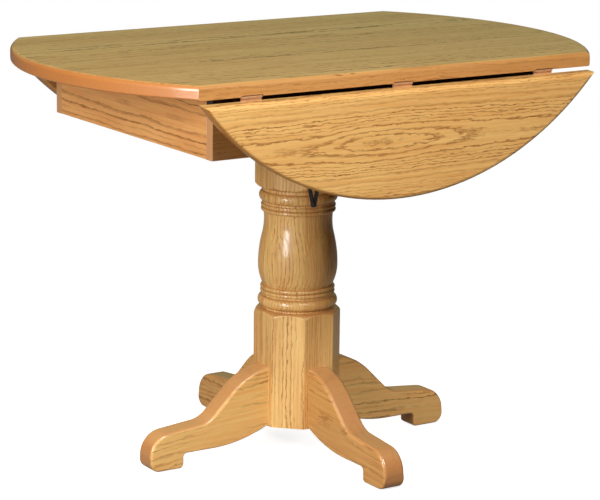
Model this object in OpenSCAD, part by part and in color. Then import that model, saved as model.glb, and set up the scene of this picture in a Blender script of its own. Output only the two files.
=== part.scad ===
// Drop-leaf pedestal table in solid oak: a round top in three boards, of which the two outer ones hang on hinges,
// over a box apron, a turned column and four scrolled legs.
// The origin is on the floor under the column. +X runs along the hinge lines, the front leaf is on the -Y side.

/* [Top] */
// Height of the top surface above the floor
table_h = 762; // [700:1:780]
// Diameter of the top with both leaves raised
top_d = 1052; // [960:4:1200]
// Width of the fixed centre board between its two joint edges
centre_w = 660; // [640:1:720]
// Thickness of the top and of the leaves
top_t = 25; // [22:0.5:32]
// Radius of the round-over along the upper arris
edge_round = 8; // [4:0.5:10]
// Radius of the round-over along the lower arris
under_round = 4; // [1:0.5:5]
// Gap between the centre board and a raised leaf
joint_gap = 1; // [0.5:0.1:2]
// Angle by which a hanging leaf leans in under the table
leaf_lean = 4.5; // [0:0.5:8]

/* [Apron] */
// Length of the apron box along the hinge lines
apron_l = 708; // [620:1:740]
// Width of the apron box across the hinge lines
apron_w = 562; // [520:1:570]
// Height of the apron boards
apron_h = 113; // [90:1:130]
// Thickness of the apron boards
apron_t = 20; // [16:0.5:25]
// Length of a corner block along each board
block_l = 60; // [40:1:80]
// Height of a corner block
block_h = 45; // [30:1:60]

/* [Column carrier] */
// Width of a batten under the top
batten_w = 45; // [40:1:60]
// Height of a batten
batten_h = 35; // [30:1:45]
// Distance of each batten from the middle of the table
batten_x = 98; // [90:1:110]
// Length of the mounting plate along the hinge lines
plate_l = 300; // [280:1:340]
// Width of the mounting plate
plate_w = 250; // [230:1:300]
// Thickness of the mounting plate
plate_t = 20; // [16:0.5:26]
// Radius of the mounting plate's corners
plate_round = 18; // [8:1:30]

/* [Column] */
// Width across the flats of the eight-sided blocks
block_af = 152; // [146:1:160]
// Height of the lower end of the column above the floor
column_foot = 54; // [45:1:60]
// Height of the lower block
lower_block_h = 217.5; // [200:0.5:235]
// Height at which the upper block starts
upper_block_z = 500; // [490:1:510]
// Radius of the rounded shoulders where the blocks meet the turning
shoulder_r = 16; // [8:0.5:17]
// Greatest radius of the vase
vase_r = 74; // [70:0.5:75]
// Height of the widest place of the vase
vase_z = 354; // [348:1:364]
// Radius of the long upper curve of the vase
vase_upper_curve = 230; // [200:5:260]
// Radius of the short lower curve of the vase
vase_lower_curve = 85; // [80:1:110]
// Radius of the neck above the vase
neck_r = 63.5; // [60:0.5:65]
// Height of the narrowest place of the neck
neck_z = 438.5; // [434:0.5:446]
// Radius of the bore in the lower end that gives access to the leg nuts
bore_r = 36; // [32:0.5:40]
// Depth of that bore
bore_h = 150; // [130:1:170]

/* [Legs] */
// Reach of a leg from the middle of the column
leg_reach = 327; // [310:1:360]
// Thickness of a leg
leg_t = 44; // [32:1:48]
// Height of a leg where it meets the column
leg_top_z = 169; // [162:0.5:180]
// Height of the foot above the dip, measured at the instep
instep_z = 78.5; // [72:0.5:84]
// Height of the hollow under the leg
arch_z = 29; // [24:0.5:34]
// Distance from the middle to the heel of the foot
heel_u = 257; // [240:1:266]
// Radius of the round toe
toe_r = 44; // [34:0.5:46]
// Round-over along the upper edges of a leg
leg_round = 6.5; // [4:0.5:10]
// Round-over along the lower edges of a leg
leg_under_round = 3; // [1:0.5:3]
// Radius of a foot glide
glide_r = 12; // [9:0.5:15]
// Thickness of a foot glide
glide_t = 2; // [2:0.5:5]

/* [Hinges] */
// Distance of the outer hinges from the middle of the table
hinge_x = 306; // [280:1:320]
// Length of a hinge along its pin
hinge_l = 40; // [36:1:60]
// Thickness of a hinge flap
flap_t = 2; // [1.5:0.1:2.5]
// Width of the flap under the centre board
fixed_flap_w = 35; // [30:1:38]
// Width of the flap under the leaf
leaf_flap_w = 46; // [40:1:60]
// Outer radius of the knuckles
knuckle_r = 3.2; // [2.8:0.1:4]
// Radius of the hinge pin
pin_r = 1.5; // [1.2:0.1:2]
// Distance of the pin inwards from the centre board's joint edge
pin_inset = 5; // [4.5:0.1:7]

/* [Folding stays] */
// Distance of the stay from the middle of the table
stay_x = 160; // [120:1:200]
// Height of the apron pivot above the apron's lower edge
stay_pivot_up = 18; // [16:0.5:40]
// Distance of a stay pivot from the wood that its bracket is screwed to
stay_stand = 9; // [8.5:0.5:12]
// Height of the elbow above the floor when the leaf hangs
elbow_z = 534; // [528:1:540]
// Distance of the hanging elbow outwards from the apron's face
elbow_out = 14; // [13:0.5:16]
// Thickness of a stay arm
arm_t = 2.5; // [2:0.1:3]
// Width of a stay arm
arm_w = 9; // [8:0.5:10]
// Distance from the elbow at which an arm is cranked
crank_l = 22; // [18:1:26]
// Offset of the apron arm's crank
apron_crank = 8; // [4:0.5:8]
// Offset of the leaf arm's crank
leaf_crank = 4; // [2:0.5:5]
// Width of a bracket plate
bracket_w = 34; // [32:1:44]
// Length of a bracket plate across the pivot
bracket_l = 30; // [28:1:31]
// Radius of a rivet
rivet_r = 2.5; // [2:0.1:3]

/* [Fasteners] */
// Radius of the shank of a hinge screw
screw_r = 2; // [1.5:0.1:2.5]
// Radius of the head of a hinge screw
screw_head_r = 4; // [3.5:0.1:4.5]
// Length of a hinge screw
screw_l = 16; // [12:1:18]
// Radius of the leg bolts
leg_bolt_r = 5; // [4:0.5:6]
// Depth of a leg bolt in the leg
leg_bolt_grip = 48; // [40:1:60]
// Radius of the bolts through the mounting plate
plate_bolt_r = 4; // [3:0.5:5]

/* [Hidden] */
$fn = 96;

// Clearances and small allowances
eps = 1;
hole_gap = 0.1;
running_gap = 0.05;
snug_gap = 0.02;
part_gap = 0.3;
join_step = 0.05;
join_lap = 2;

// Top
top_r = top_d / 2;
joint_arris = 0.5;
centre_s = centre_w / 2;
under_z = table_h - top_t;
leaf_s = centre_s + joint_gap;
leaf_drop = 90 + leaf_lean;
pin_s = centre_s - pin_inset;
pin_z = under_z - flap_t / 2;

// Apron box
apron_z = under_z - apron_h;
apron_face = apron_w / 2;
apron_inner_w = apron_w - 2 * apron_t;
apron_inner_l = apron_l - 2 * apron_t;

// Carrier
plate_z = under_z - batten_h - plate_t;
batten_z = under_z - batten_h;
plate_bolt_y = plate_w / 2 - 40;
batten_screw_y = 205;
column_screw_at = 44;

// Column
block_cr = block_af / 2 / cos(22.5);
lower_block_z = column_foot + lower_block_h;
fillet_r = block_cr + eps - shoulder_r;
vase_drop = vase_r - neck_r;
neck_rise = neck_z - vase_z;
neck_curve = (neck_rise * neck_rise / vase_drop + vase_drop) / 2 - vase_upper_curve;
vase_join_z = vase_z + neck_rise * vase_upper_curve / (vase_upper_curve + neck_curve);
// Each bead of the turning: height of its middle, half its height, greatest radius
lower_torus = [lower_block_z + 14, 11.5, 74.3];
lower_beads = [[lower_block_z + 31.5, 4, 69.5], [lower_block_z + 39.5, 4, 69.5]];
upper_beads = [[upper_block_z - 42, 4, 69.5], [upper_block_z - 34, 4, 69.5]];
upper_torus = [upper_block_z - 16.5, 11.5, 73];
groove_r = 66.5;
bead_top_z = lower_beads[1][0] + lower_beads[1][1];
bead_low_z = upper_beads[0][0] - upper_beads[0][1];

// Legs
leg_u = block_af / 2;
hump_r = 140;
hump_lead = 22;
dip_r = 50;
dip_u = 225.5;
fall_angle = 45;
rest_angle = 6;
arch_r = 280;
arch_u = 195;
heel_round = 8;
heel_rise = 3;
toe_round = 12;
toe_lean = 1;
toe_u = leg_reach - toe_r;
leg_bolt_z = [column_foot + 36, column_foot + 86];
glide_u = (heel_u + leg_reach) / 2;
nail_r = 1.5;
nail_l = 12;

// Leg bolt seats inside the bore
seat_u = bore_r + 4;
seat_r = 13;
washer_t = 2;
washer_r = 10;
nut_t = 8;
nut_r = 9;
bolt_tail = 3;

// Hinges
hinge_at = [-hinge_x, 0, hinge_x];
knuckles = 5;
knuckle_gap = 0.3;
mortise_gap = 0.6;
flap_screws = [[-13, 0.42], [0, 0.76], [13, 0.42]];

// Folding stays, in the plane across the hinge line: the first value runs outwards, the second upwards
stay_full = leaf_drop;
pivot_a = [apron_face + stay_stand, apron_z + stay_pivot_up];
elbow_rest = [apron_face + elbow_out, elbow_z];
pin_at = [pin_s, pin_z];
function turn(v, a) = [v[0] * cos(a) - v[1] * sin(a), v[0] * sin(a) + v[1] * cos(a)];
function on_leaf(b, h, open) = pin_at + turn([b, h], open - stay_full);
leaf_pivot_h = flap_t / 2 - stay_stand;
function slack(b) = norm(elbow_rest - pivot_a) + norm(on_leaf(b, leaf_pivot_h, 0) - elbow_rest)
    - norm(on_leaf(b, leaf_pivot_h, stay_full) - pivot_a);
// The leaf pivot sits where both arms lie in one straight line when the leaf is level
function straight_at(lo, hi, n) = n == 0 ? (lo + hi) / 2
    : slack((lo + hi) / 2) > 0 ? straight_at((lo + hi) / 2, hi, n - 1) : straight_at(lo, (lo + hi) / 2, n - 1);
leaf_pivot_b = straight_at(60, 190, 40);
pivot_b = on_leaf(leaf_pivot_b, leaf_pivot_h, 0);
apron_arm_l = norm(elbow_rest - pivot_a);
leaf_arm_l = norm(elbow_rest - pivot_b);
pivot_b_up = on_leaf(leaf_pivot_b, leaf_pivot_h, stay_full);
function heading(v) = atan2(v[1], v[0]);
apron_arm_turn = heading(pivot_b_up - pivot_a) - heading(elbow_rest - pivot_a);
leaf_arm_turn = heading(pivot_a - pivot_b_up) - heading(elbow_rest - pivot_b);
echo(pivot_a = pivot_a, pivot_b = pivot_b, elbow = elbow_rest, leaf_pivot_b = leaf_pivot_b);
echo(apron_arm_l = apron_arm_l, leaf_arm_l = leaf_arm_l, apron_turn = apron_arm_turn, leaf_turn = leaf_arm_turn);
arm_gap = 0.3;
ear_t = 2.5;
eye_r = 5.6;
rivet_head_r = 4.4;
rivet_head_t = 1.2;

// Points along an arc, from angle a0 to a1 in n steps
function arc(c, r, a0, a1, n) = [for (i = [0 : n]) c + r * [cos(a0 + (a1 - a0) * i / n), sin(a0 + (a1 - a0) * i / n)]];

// Side view of a leg: the first value runs outwards from the column's axis, the second upwards
hump_c = [leg_u - hump_lead, leg_top_z - sqrt(hump_r * hump_r - hump_lead * hump_lead)];
dip_c = [dip_u, instep_z + dip_r];
toe_z = instep_z - (toe_u - dip_u) * tan(rest_angle) - toe_r / cos(rest_angle) + dip_r * (1 / cos(rest_angle) - 1);
toe_c = [toe_u, toe_z];
arch_c = [arch_u, arch_z + arch_r];
leg_upper = concat(
    [[leg_u, leg_top_z]],
    arc(hump_c, hump_r, 90 - asin(hump_lead / hump_r) - 2, 90 - fall_angle, 8),
    arc(dip_c, dip_r, 270 - fall_angle, 270 - rest_angle, 8),
    arc(toe_c, toe_r, 90 - rest_angle, 0, 9)
);
leg_lower = concat(
    arc([leg_reach - toe_lean - toe_round, glide_t + toe_round], toe_round, 0, -90, 6),
    arc([heel_u + heel_rise, glide_t + heel_rise], heel_rise, 270, 180, 3),
    arc([heel_u - heel_round, arch_z - heel_round], heel_round, 0, 90, 4),
    arc(arch_c, arch_r, 270, 270 - asin((arch_u - leg_u) / arch_r), 7)
);
leg_outline = concat(leg_upper, leg_lower);
leg_rounds = concat(
    [for (p = leg_upper) leg_round],
    [for (p = leg_lower) leg_under_round]
);

// Building blocks

// Section of a board edge: w wide from the middle, t thick, rounded above and below at its outer end
module edge_section(w, t, above, below) {
    square([w - above, t]);
    square([w - below, t - above]);
    translate([0, below]) square([w, t - above - below]);
    translate([w - above, t - above]) circle(above);
    translate([w - below, below]) circle(below);
}

// Section of all that is cut away beyond a joint edge at s; the edge keeps a round-over above
module beyond_edge(s) {
    polygon(concat(
        [[s - joint_arris, -eps], [s - joint_arris, 0], [s, joint_arris]],
        arc([s - edge_round, top_t - edge_round], edge_round, 0, 90, 6),
        [[s - edge_round, top_t + eps], [s + top_d, top_t + eps], [s + top_d, -eps]]
    ));
}

// Full round disc of the opened top
module full_disc() {
    translate([0, 0, under_z]) rotate_extrude($fn = 240) edge_section(top_r, top_t, edge_round, under_round);
}

// Length of board along X whose section is drawn in Y and Z
module along_x(l) {
    rotate([90, 0, 90]) translate([0, 0, -l / 2]) linear_extrude(l) children();
}

// Moves what is drawn for the front of the table to the back
module to_back() {
    rotate([0, 0, 180]) children();
}

// Swings what is drawn on a raised front leaf down to where it hangs
module hang() {
    translate([0, -pin_s, pin_z]) rotate([leaf_drop, 0, 0]) translate([0, pin_s, -pin_z]) children();
}

// Cylinder along X from x0 to x1 through the point y, z
module rod_x(x0, x1, y, z, r) {
    translate([x0, y, z]) rotate([0, 90, 0]) cylinder(h = x1 - x0, r = r);
}

// Countersunk screw that points up, with the face of its head at z = 0
module wood_screw(l, r, head_r) {
    cone = head_r - r;
    rotate_extrude($fn = 32) polygon([[0, 0], [head_r, 0], [r, cone], [r, l - 2 * r], [0, l]]);
}

// Hole that takes such a screw
module screw_hole(l, r, head_r) {
    cone = head_r - r;
    translate([0, 0, -eps]) cylinder(h = l + eps + hole_gap, r = r + hole_gap, $fn = 32);
    translate([0, 0, -eps]) cylinder(h = eps, r = head_r + hole_gap, $fn = 32);
    cylinder(h = cone, r1 = head_r + hole_gap, r2 = r + hole_gap, $fn = 32);
}

// Places of the screws of one hinge, under the centre board or under a raised leaf
module fixed_flap_screws() {
    for (p = flap_screws) translate([p[0], -pin_s + p[1] * fixed_flap_w, pin_z - flap_t / 2]) children();
}

module leaf_flap_screws() {
    for (p = flap_screws) translate([p[0], -pin_s - p[1] * leaf_flap_w, pin_z - flap_t / 2]) children();
}

// Places of the screws of a stay bracket, side by side across its pivot
module bracket_screws() {
    for (k = [-1, 1]) translate([k * (bracket_w / 2 - 5.5), 0, 0]) children();
}

// Frame of the apron bracket of the front stay: z points into the apron from the face of the plate
module at_apron_bracket() {
    translate([-stay_x, -apron_face - flap_t, pivot_a[1]]) rotate([-90, 0, 0]) children();
}

// Frame of the leaf bracket of the front stay on the raised leaf: z points up into the leaf
module at_leaf_bracket() {
    translate([-stay_x, -pin_s - leaf_pivot_b, under_z - flap_t]) children();
}

// Top

module top_centre() {
    color("burlywood") difference() {
        full_disc();
        for (side = [0, 180]) rotate([0, 0, side]) translate([0, 0, under_z]) along_x(top_d + 2 * eps)
            beyond_edge(centre_s);
        for (side = [0, 180], x = hinge_at) rotate([0, 0, side]) translate([x, 0, 0]) {
            barrel_mortise();
            fixed_flap_screws() screw_hole(screw_l, screw_r, screw_head_r);
        }
        at_batten_screws() screw_hole(batten_screw_l, screw_r, screw_head_r);
        at_block_screws() screw_hole(block_screw_l, screw_r, screw_head_r);
    }
}

// Notch in the lower arris of the centre board that clears the knuckles
module barrel_mortise() {
    reach = knuckle_r + mortise_gap;
    translate([-hinge_l / 2 - mortise_gap, -centre_s - eps, under_z - eps])
        cube([hinge_l + 2 * mortise_gap, pin_inset + reach + eps, pin_z + reach - under_z + eps]);
}

module raised_leaf() {
    difference() {
        full_disc();
        translate([0, 0, under_z]) along_x(top_d + 2 * eps) beyond_edge(-leaf_s);
        for (x = hinge_at) translate([x, 0, 0]) leaf_flap_screws() screw_hole(screw_l, screw_r, screw_head_r);
        at_leaf_bracket() bracket_screws() screw_hole(screw_l, screw_r, screw_head_r);
    }
}

module leaf_front() {
    color("burlywood") hang() raised_leaf();
}

module leaf_back() {
    to_back() leaf_front();
}

// Apron box

module long_board() {
    difference() {
        translate([-apron_l / 2, -apron_face, apron_z]) cube([apron_l, apron_t, apron_h]);
        at_apron_bracket() bracket_screws() screw_hole(screw_l, screw_r, screw_head_r);
    }
}

module end_board() {
    translate([-apron_l / 2, -apron_inner_w / 2, apron_z]) cube([apron_t, apron_inner_w, apron_h]);
}

module apron_front() {
    color("peru") long_board();
}

module apron_back() {
    color("peru") to_back() long_board();
}

module apron_left() {
    color("peru") end_board();
}

module apron_right() {
    color("peru") to_back() end_board();
}

block_screw_l = block_h + top_t - 8;
batten_screw_l = batten_h + top_t - 8;

module at_block_screws() {
    for (i = [-1, 1], j = [-1, 1])
        translate([i * (apron_inner_l / 2 - block_l / 3), j * (apron_inner_w / 2 - block_l / 3), under_z - block_h])
            children();
}

module corner_blocks() {
    color("tan") difference() {
        for (i = [0, 1], j = [0, 1]) mirror([i, 0, 0]) mirror([0, j, 0])
            translate([apron_inner_l / 2, apron_inner_w / 2, under_z - block_h]) linear_extrude(block_h)
                polygon([[0, 0], [-block_l, 0], [-block_l, -6], [-6, -block_l], [0, -block_l]]);
        at_block_screws() screw_hole(block_screw_l, screw_r, screw_head_r);
    }
}

// Carrier between the column and the top

module at_batten_screws() {
    for (x = [-batten_x, batten_x], y = [-batten_screw_y, 0, batten_screw_y]) translate([x, y, batten_z]) children();
}

module at_plate_bolts() {
    for (x = [-batten_x, batten_x], y = [-plate_bolt_y, plate_bolt_y]) translate([x, y, plate_z]) children();
}

module batten(x) {
    color("tan") difference() {
        translate([x - batten_w / 2, -apron_inner_w / 2, batten_z]) cube([batten_w, apron_inner_w, batten_h]);
        at_batten_screws() screw_hole(batten_screw_l, screw_r, screw_head_r);
        at_plate_bolts() translate([0, 0, plate_t - eps]) cylinder(h = insert_l + eps + 8, r = insert_r);
    }
}

module batten_left() {
    batten(-batten_x);
}

module batten_right() {
    batten(batten_x);
}

insert_r = plate_bolt_r + 2.5;
insert_l = 18;
plate_bolt_l = plate_t + insert_l + 4;
plate_washer_r = 11;
plate_head_r = 7.5;
plate_head_t = 5.5;
lag_l = 70;
lag_head_t = 5.5;
lag_head_r = 7.5;
lag_r = 4;

module mounting_plate() {
    color("tan") difference() {
        translate([0, 0, plate_z]) linear_extrude(plate_t) difference() {
            square([plate_l, plate_w], center = true);
            for (i = [0, 1], j = [0, 1]) mirror([i, 0]) mirror([0, j]) translate([plate_l / 2, plate_w / 2])
                difference() {
                    square(2 * plate_round, center = true);
                    translate([-plate_round, -plate_round]) circle(plate_round);
                }
        }
        at_plate_bolts() translate([0, 0, -eps]) cylinder(h = plate_t + 2 * eps, r = plate_bolt_r + 0.5);
        at_column_screws() translate([0, 0, -lag_l]) cylinder(h = 2 * lag_l, r = lag_r + hole_gap);
    }
}

module at_column_screws() {
    for (i = [-1, 1], j = [-1, 1]) translate([i * column_screw_at, j * column_screw_at, batten_z]) children();
}

module plate_bolts() {
    color("silver") at_plate_bolts() {
        translate([0, 0, -washer_t - plate_head_t]) cylinder(h = plate_head_t, r = plate_head_r, $fn = 6);
        translate([0, 0, -washer_t - eps]) cylinder(h = plate_bolt_l + washer_t + eps, r = plate_bolt_r);
    }
}

module plate_washers() {
    color("silver") at_plate_bolts() translate([0, 0, -washer_t]) difference() {
        cylinder(h = washer_t, r = plate_washer_r);
        translate([0, 0, -eps]) cylinder(h = washer_t + 2 * eps, r = plate_bolt_r + 0.4);
    }
}

module plate_inserts() {
    color("goldenrod") at_plate_bolts() translate([0, 0, plate_t]) difference() {
        cylinder(h = insert_l, r = insert_r - hole_gap);
        translate([0, 0, -eps]) cylinder(h = insert_l + 2 * eps, r = plate_bolt_r + running_gap);
    }
}

module column_screws() {
    color("silver") at_column_screws() {
        cylinder(h = lag_head_t, r = lag_head_r, $fn = 6);
        translate([0, 0, eps - lag_l]) cylinder(h = lag_l, r = lag_r);
        translate([0, 0, eps - lag_l - 2 * lag_r]) cylinder(h = 2 * lag_r, r1 = 0.5, r2 = lag_r);
    }
}

module batten_screws() {
    color("silver") at_batten_screws() wood_screw(batten_screw_l, screw_r, screw_head_r);
}

module block_screws() {
    color("silver") at_block_screws() wood_screw(block_screw_l, screw_r, screw_head_r);
}

// Column

// Half section of a bead: z is the height of its middle, h half its height, r its greatest radius
module bead(b) {
    translate([b[2] - b[1], b[0]]) circle(b[1]);
    translate([0, b[0] - b[1]]) square([b[2] - b[1], 2 * b[1]]);
}

// Half section of the turned length between the two blocks
module turning() {
    translate([0, lower_block_z - eps]) square([groove_r, bead_top_z - lower_block_z + eps]);
    translate([0, bead_low_z]) square([groove_r, upper_block_z - bead_low_z + eps]);
    bead(lower_torus);
    for (b = lower_beads) bead(b);
    for (b = upper_beads) bead(b);
    bead(upper_torus);
    intersection() {
        translate([vase_r - vase_lower_curve, vase_z]) circle(vase_lower_curve, $fn = 240);
        translate([0, bead_top_z - eps]) square([vase_r, vase_z - bead_top_z + eps]);
    }
    intersection() {
        translate([vase_r - vase_upper_curve, vase_z]) circle(vase_upper_curve, $fn = 360);
        translate([0, vase_z]) square([vase_r, vase_join_z - vase_z + join_lap]);
    }
    difference() {
        translate([0, vase_join_z]) square([vase_r, bead_low_z - vase_join_z + eps]);
        translate([neck_r + neck_curve + join_step, neck_z]) circle(neck_curve, $fn = 360);
    }
}

// Half section of a block with its turned shoulder at the top
module block_section(h) {
    square([block_cr + eps, h - shoulder_r]);
    square([fillet_r, h]);
    translate([fillet_r, h - shoulder_r]) circle(shoulder_r);
}

module octagon(h) {
    rotate([0, 0, 22.5]) cylinder(h = h, r = block_cr, $fn = 8);
}

// Each leg in turn, as drawn for the leg that points along +X
module each_leg() {
    for (a = [0 : 90 : 270]) rotate([0, 0, a]) children();
}

module at_leg_bolts(u) {
    for (z = leg_bolt_z) translate([u, 0, z]) rotate([0, 90, 0]) children();
}

module column() {
    upper_h = plate_z - upper_block_z;
    color("burlywood") difference() {
        union() {
            rotate_extrude($fn = 120) turning();
            intersection() {
                translate([0, 0, column_foot]) octagon(lower_block_h);
                translate([0, 0, column_foot]) rotate_extrude($fn = 120) block_section(lower_block_h);
            }
            intersection() {
                translate([0, 0, upper_block_z]) octagon(upper_h);
                translate([0, 0, plate_z]) mirror([0, 0, 1]) rotate_extrude($fn = 120) block_section(upper_h);
            }
        }
        translate([0, 0, column_foot - eps]) cylinder(h = bore_h + eps, r = bore_r);
        each_leg() at_leg_bolts(0) {
            cylinder(h = seat_u, r = seat_r);
            cylinder(h = block_af, r = leg_bolt_r + hole_gap);
        }
        at_column_screws() translate([0, 0, eps - lag_l - 2 * lag_r - hole_gap])
            cylinder(h = lag_l + 2 * lag_r, r = lag_r + hole_gap);
    }
}

// Legs

// Slab with the outline p, w wide, whose long edges are rounded by the radius given for each point.
// Its first and last points lie on a flat end that stands upright
module rounded_slab(p, rounds, w, steps = 3) {
    n = len(p);
    along = [for (i = [0 : n - 1]) i == 0 ? [1, 0] : i == n - 1 ? [-1, 0] : p[i + 1] - p[i - 1]];
    inward = [for (d = along) [d[1], -d[0]] / norm(d)];
    turns = concat([for (k = [0 : steps]) k], [for (k = [steps : -1 : 0]) -k - 1]);
    rings = [for (k = turns) let (s = k < 0 ? -1 : 1, a = 90 * (k < 0 ? -k - 1 : k) / steps)
        [for (i = [0 : n - 1]) let (r = rounds[i], q = p[i] + inward[i] * r * (1 - sin(a)))
            [q[0], s * (w / 2 - r * (1 - cos(a))), q[1]]]];
    m = len(rings);
    quads = [for (k = [0 : m - 2], i = [0 : n - 1])
        let (a = k * n + i, b = k * n + (i + 1) % n, c = b + n, d = a + n) each [[a, b, c], [a, c, d]]];
    caps = [[for (i = [n - 1 : -1 : 0]) i], [for (i = [0 : n - 1]) (m - 1) * n + i]];
    polyhedron([for (r = rings) each r], concat(quads, caps));
}

// Leg that points along +X
module leg() {
    color("burlywood") difference() {
        rounded_slab(leg_outline, leg_rounds, leg_t);
        at_leg_bolts(leg_u - eps) cylinder(h = leg_bolt_grip + eps + hole_gap, r = leg_bolt_r + hole_gap);
        translate([glide_u, 0, 0]) cylinder(h = glide_t + nail_l + hole_gap, r = nail_r + hole_gap, $fn = 24);
    }
}

module leg_right() {
    leg();
}

module leg_back() {
    rotate([0, 0, 90]) leg();
}

module leg_left() {
    rotate([0, 0, 180]) leg();
}

module leg_front() {
    rotate([0, 0, 270]) leg();
}

module leg_bolts() {
    tail_u = seat_u - washer_t - nut_t - bolt_tail;
    color("silver") each_leg() at_leg_bolts(tail_u) cylinder(h = leg_u + leg_bolt_grip - tail_u, r = leg_bolt_r);
}

module leg_washers() {
    color("silver") each_leg() at_leg_bolts(seat_u - washer_t) difference() {
        cylinder(h = washer_t, r = washer_r);
        translate([0, 0, -eps]) cylinder(h = washer_t + 2 * eps, r = leg_bolt_r + 0.4);
    }
}

module leg_nuts() {
    color("silver") each_leg() at_leg_bolts(seat_u - washer_t - nut_t) difference() {
        cylinder(h = nut_t, r = nut_r, $fn = 6);
        translate([0, 0, -eps]) cylinder(h = nut_t + 2 * eps, r = leg_bolt_r + running_gap);
    }
}

module foot_glides() {
    color("dimgray") each_leg() translate([glide_u, 0, 0]) {
        rotate_extrude($fn = 48) edge_section(glide_r, glide_t, 0.5, 1);
        cylinder(h = glide_t + nail_l, r = nail_r, $fn = 24);
    }
}

// Hinges

knuckle_l = hinge_l / knuckles;

// Knuckles number first, first + 2 and so on, along X
module knuckle_run(first, r, grow) {
    for (k = [first : 2 : knuckles - 1])
        rod_x(-hinge_l / 2 + k * knuckle_l + knuckle_gap / 2 - grow,
            -hinge_l / 2 + (k + 1) * knuckle_l - knuckle_gap / 2 + grow, -pin_s, pin_z, r);
}

// Flap with its knuckles; dir is 1 inwards under the centre board and -1 outwards under the leaf
module flap(w, dir, first, hole_r) {
    difference() {
        union() {
            translate([-hinge_l / 2, dir > 0 ? -pin_s : -pin_s - w, pin_z - flap_t / 2]) cube([hinge_l, w, flap_t]);
            knuckle_run(first, knuckle_r, 0);
        }
        knuckle_run(1 - first, knuckle_r + part_gap, knuckle_gap);
        rod_x(-hinge_l, hinge_l, -pin_s, pin_z, hole_r);
    }
}

module top_flap(x) {
    color("gold") translate([x, 0, 0]) difference() {
        flap(fixed_flap_w, 1, 0, pin_r + snug_gap);
        fixed_flap_screws() screw_hole(screw_l, screw_r, screw_head_r);
    }
}

module leaf_flap(x) {
    color("gold") hang() translate([x, 0, 0]) difference() {
        flap(leaf_flap_w, -1, 1, pin_r + running_gap);
        leaf_flap_screws() screw_hole(screw_l, screw_r, screw_head_r);
    }
}

module hinge_front_left_top_flap() {
    top_flap(-hinge_x);
}

module hinge_front_middle_top_flap() {
    top_flap(0);
}

module hinge_front_right_top_flap() {
    top_flap(hinge_x);
}

module hinge_back_left_top_flap() {
    to_back() top_flap(hinge_x);
}

module hinge_back_middle_top_flap() {
    to_back() top_flap(0);
}

module hinge_back_right_top_flap() {
    to_back() top_flap(-hinge_x);
}

module hinge_front_left_leaf_flap() {
    leaf_flap(-hinge_x);
}

module hinge_front_middle_leaf_flap() {
    leaf_flap(0);
}

module hinge_front_right_leaf_flap() {
    leaf_flap(hinge_x);
}

module hinge_back_left_leaf_flap() {
    to_back() leaf_flap(hinge_x);
}

module hinge_back_middle_leaf_flap() {
    to_back() leaf_flap(0);
}

module hinge_back_right_leaf_flap() {
    to_back() leaf_flap(-hinge_x);
}

module hinge_pins() {
    color("gold") for (side = [0, 180], x = hinge_at) rotate([0, 0, side])
        rod_x(x - hinge_l / 2, x + hinge_l / 2, -pin_s, pin_z, pin_r);
}

// Screws of the centre board's flaps and of both apron brackets
module top_screws() {
    color("gold") for (side = [0, 180]) rotate([0, 0, side]) {
        for (x = hinge_at) translate([x, 0, 0]) fixed_flap_screws() wood_screw(screw_l, screw_r, screw_head_r);
        at_apron_bracket() bracket_screws() wood_screw(screw_l, screw_r, screw_head_r);
    }
}

module leaf_front_screws() {
    color("gold") hang() {
        for (x = hinge_at) translate([x, 0, 0]) leaf_flap_screws() wood_screw(screw_l, screw_r, screw_head_r);
        at_leaf_bracket() bracket_screws() wood_screw(screw_l, screw_r, screw_head_r);
    }
}

module leaf_back_screws() {
    to_back() leaf_front_screws();
}

// Folding stays

// Arm in its own plane: the far pivot is at the origin, the elbow at [l, 0], the crank is offset by k
module arm_shape(l, k) {
    bend = [l - crank_l, k];
    end = [l, 0];
    n1 = turn(bend / norm(bend), 90);
    n2 = turn((end - bend) / norm(end - bend), 90);
    mitre = (n1 + n2) / (1 + n1 * n2);
    half = arm_w / 2;
    difference() {
        union() {
            circle(eye_r);
            translate(end) circle(eye_r);
            polygon([-half * n1, bend - half * mitre, end - half * n2, end + half * n2, bend + half * mitre, half * n1]);
        }
        circle(rivet_r + running_gap);
        translate([l, 0]) circle(rivet_r + running_gap);
    }
}

// Draws in the plane across the hinge line at the stay, from x0 to x1 off its middle
module in_stay_plane(x0, x1) {
    translate([-stay_x + x0, 0, 0]) rotate([90, 0, -90]) translate([0, 0, x0 - x1]) linear_extrude(x1 - x0) children();
}

module stay_arm(from, to, l, k, x0) {
    color([0.12, 0.12, 0.13]) in_stay_plane(x0, x0 + arm_t) translate(from) rotate(heading(to - from)) arm_shape(l, k);
}

// Rivet along X through the point p of the stay plane, with a head at each end that h0 or h1 asks for
module stay_rivet(p, x0, x1, h0, h1) {
    color([0.2, 0.2, 0.2]) translate([-stay_x, 0, 0]) {
        rod_x(x0, x1, -p[0], p[1], rivet_r);
        if (h0) rod_x(x0 - rivet_head_t, x0, -p[0], p[1], rivet_head_r);
        if (h1) rod_x(x1, x1 + rivet_head_t, -p[0], p[1], rivet_head_r);
    }
}

apron_arm_x = -arm_gap - arm_t;
leaf_arm_x = arm_gap;
apron_ear_x = apron_arm_x - arm_gap - ear_t;
leaf_ear_x = leaf_arm_x + arm_t + arm_gap;

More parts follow.
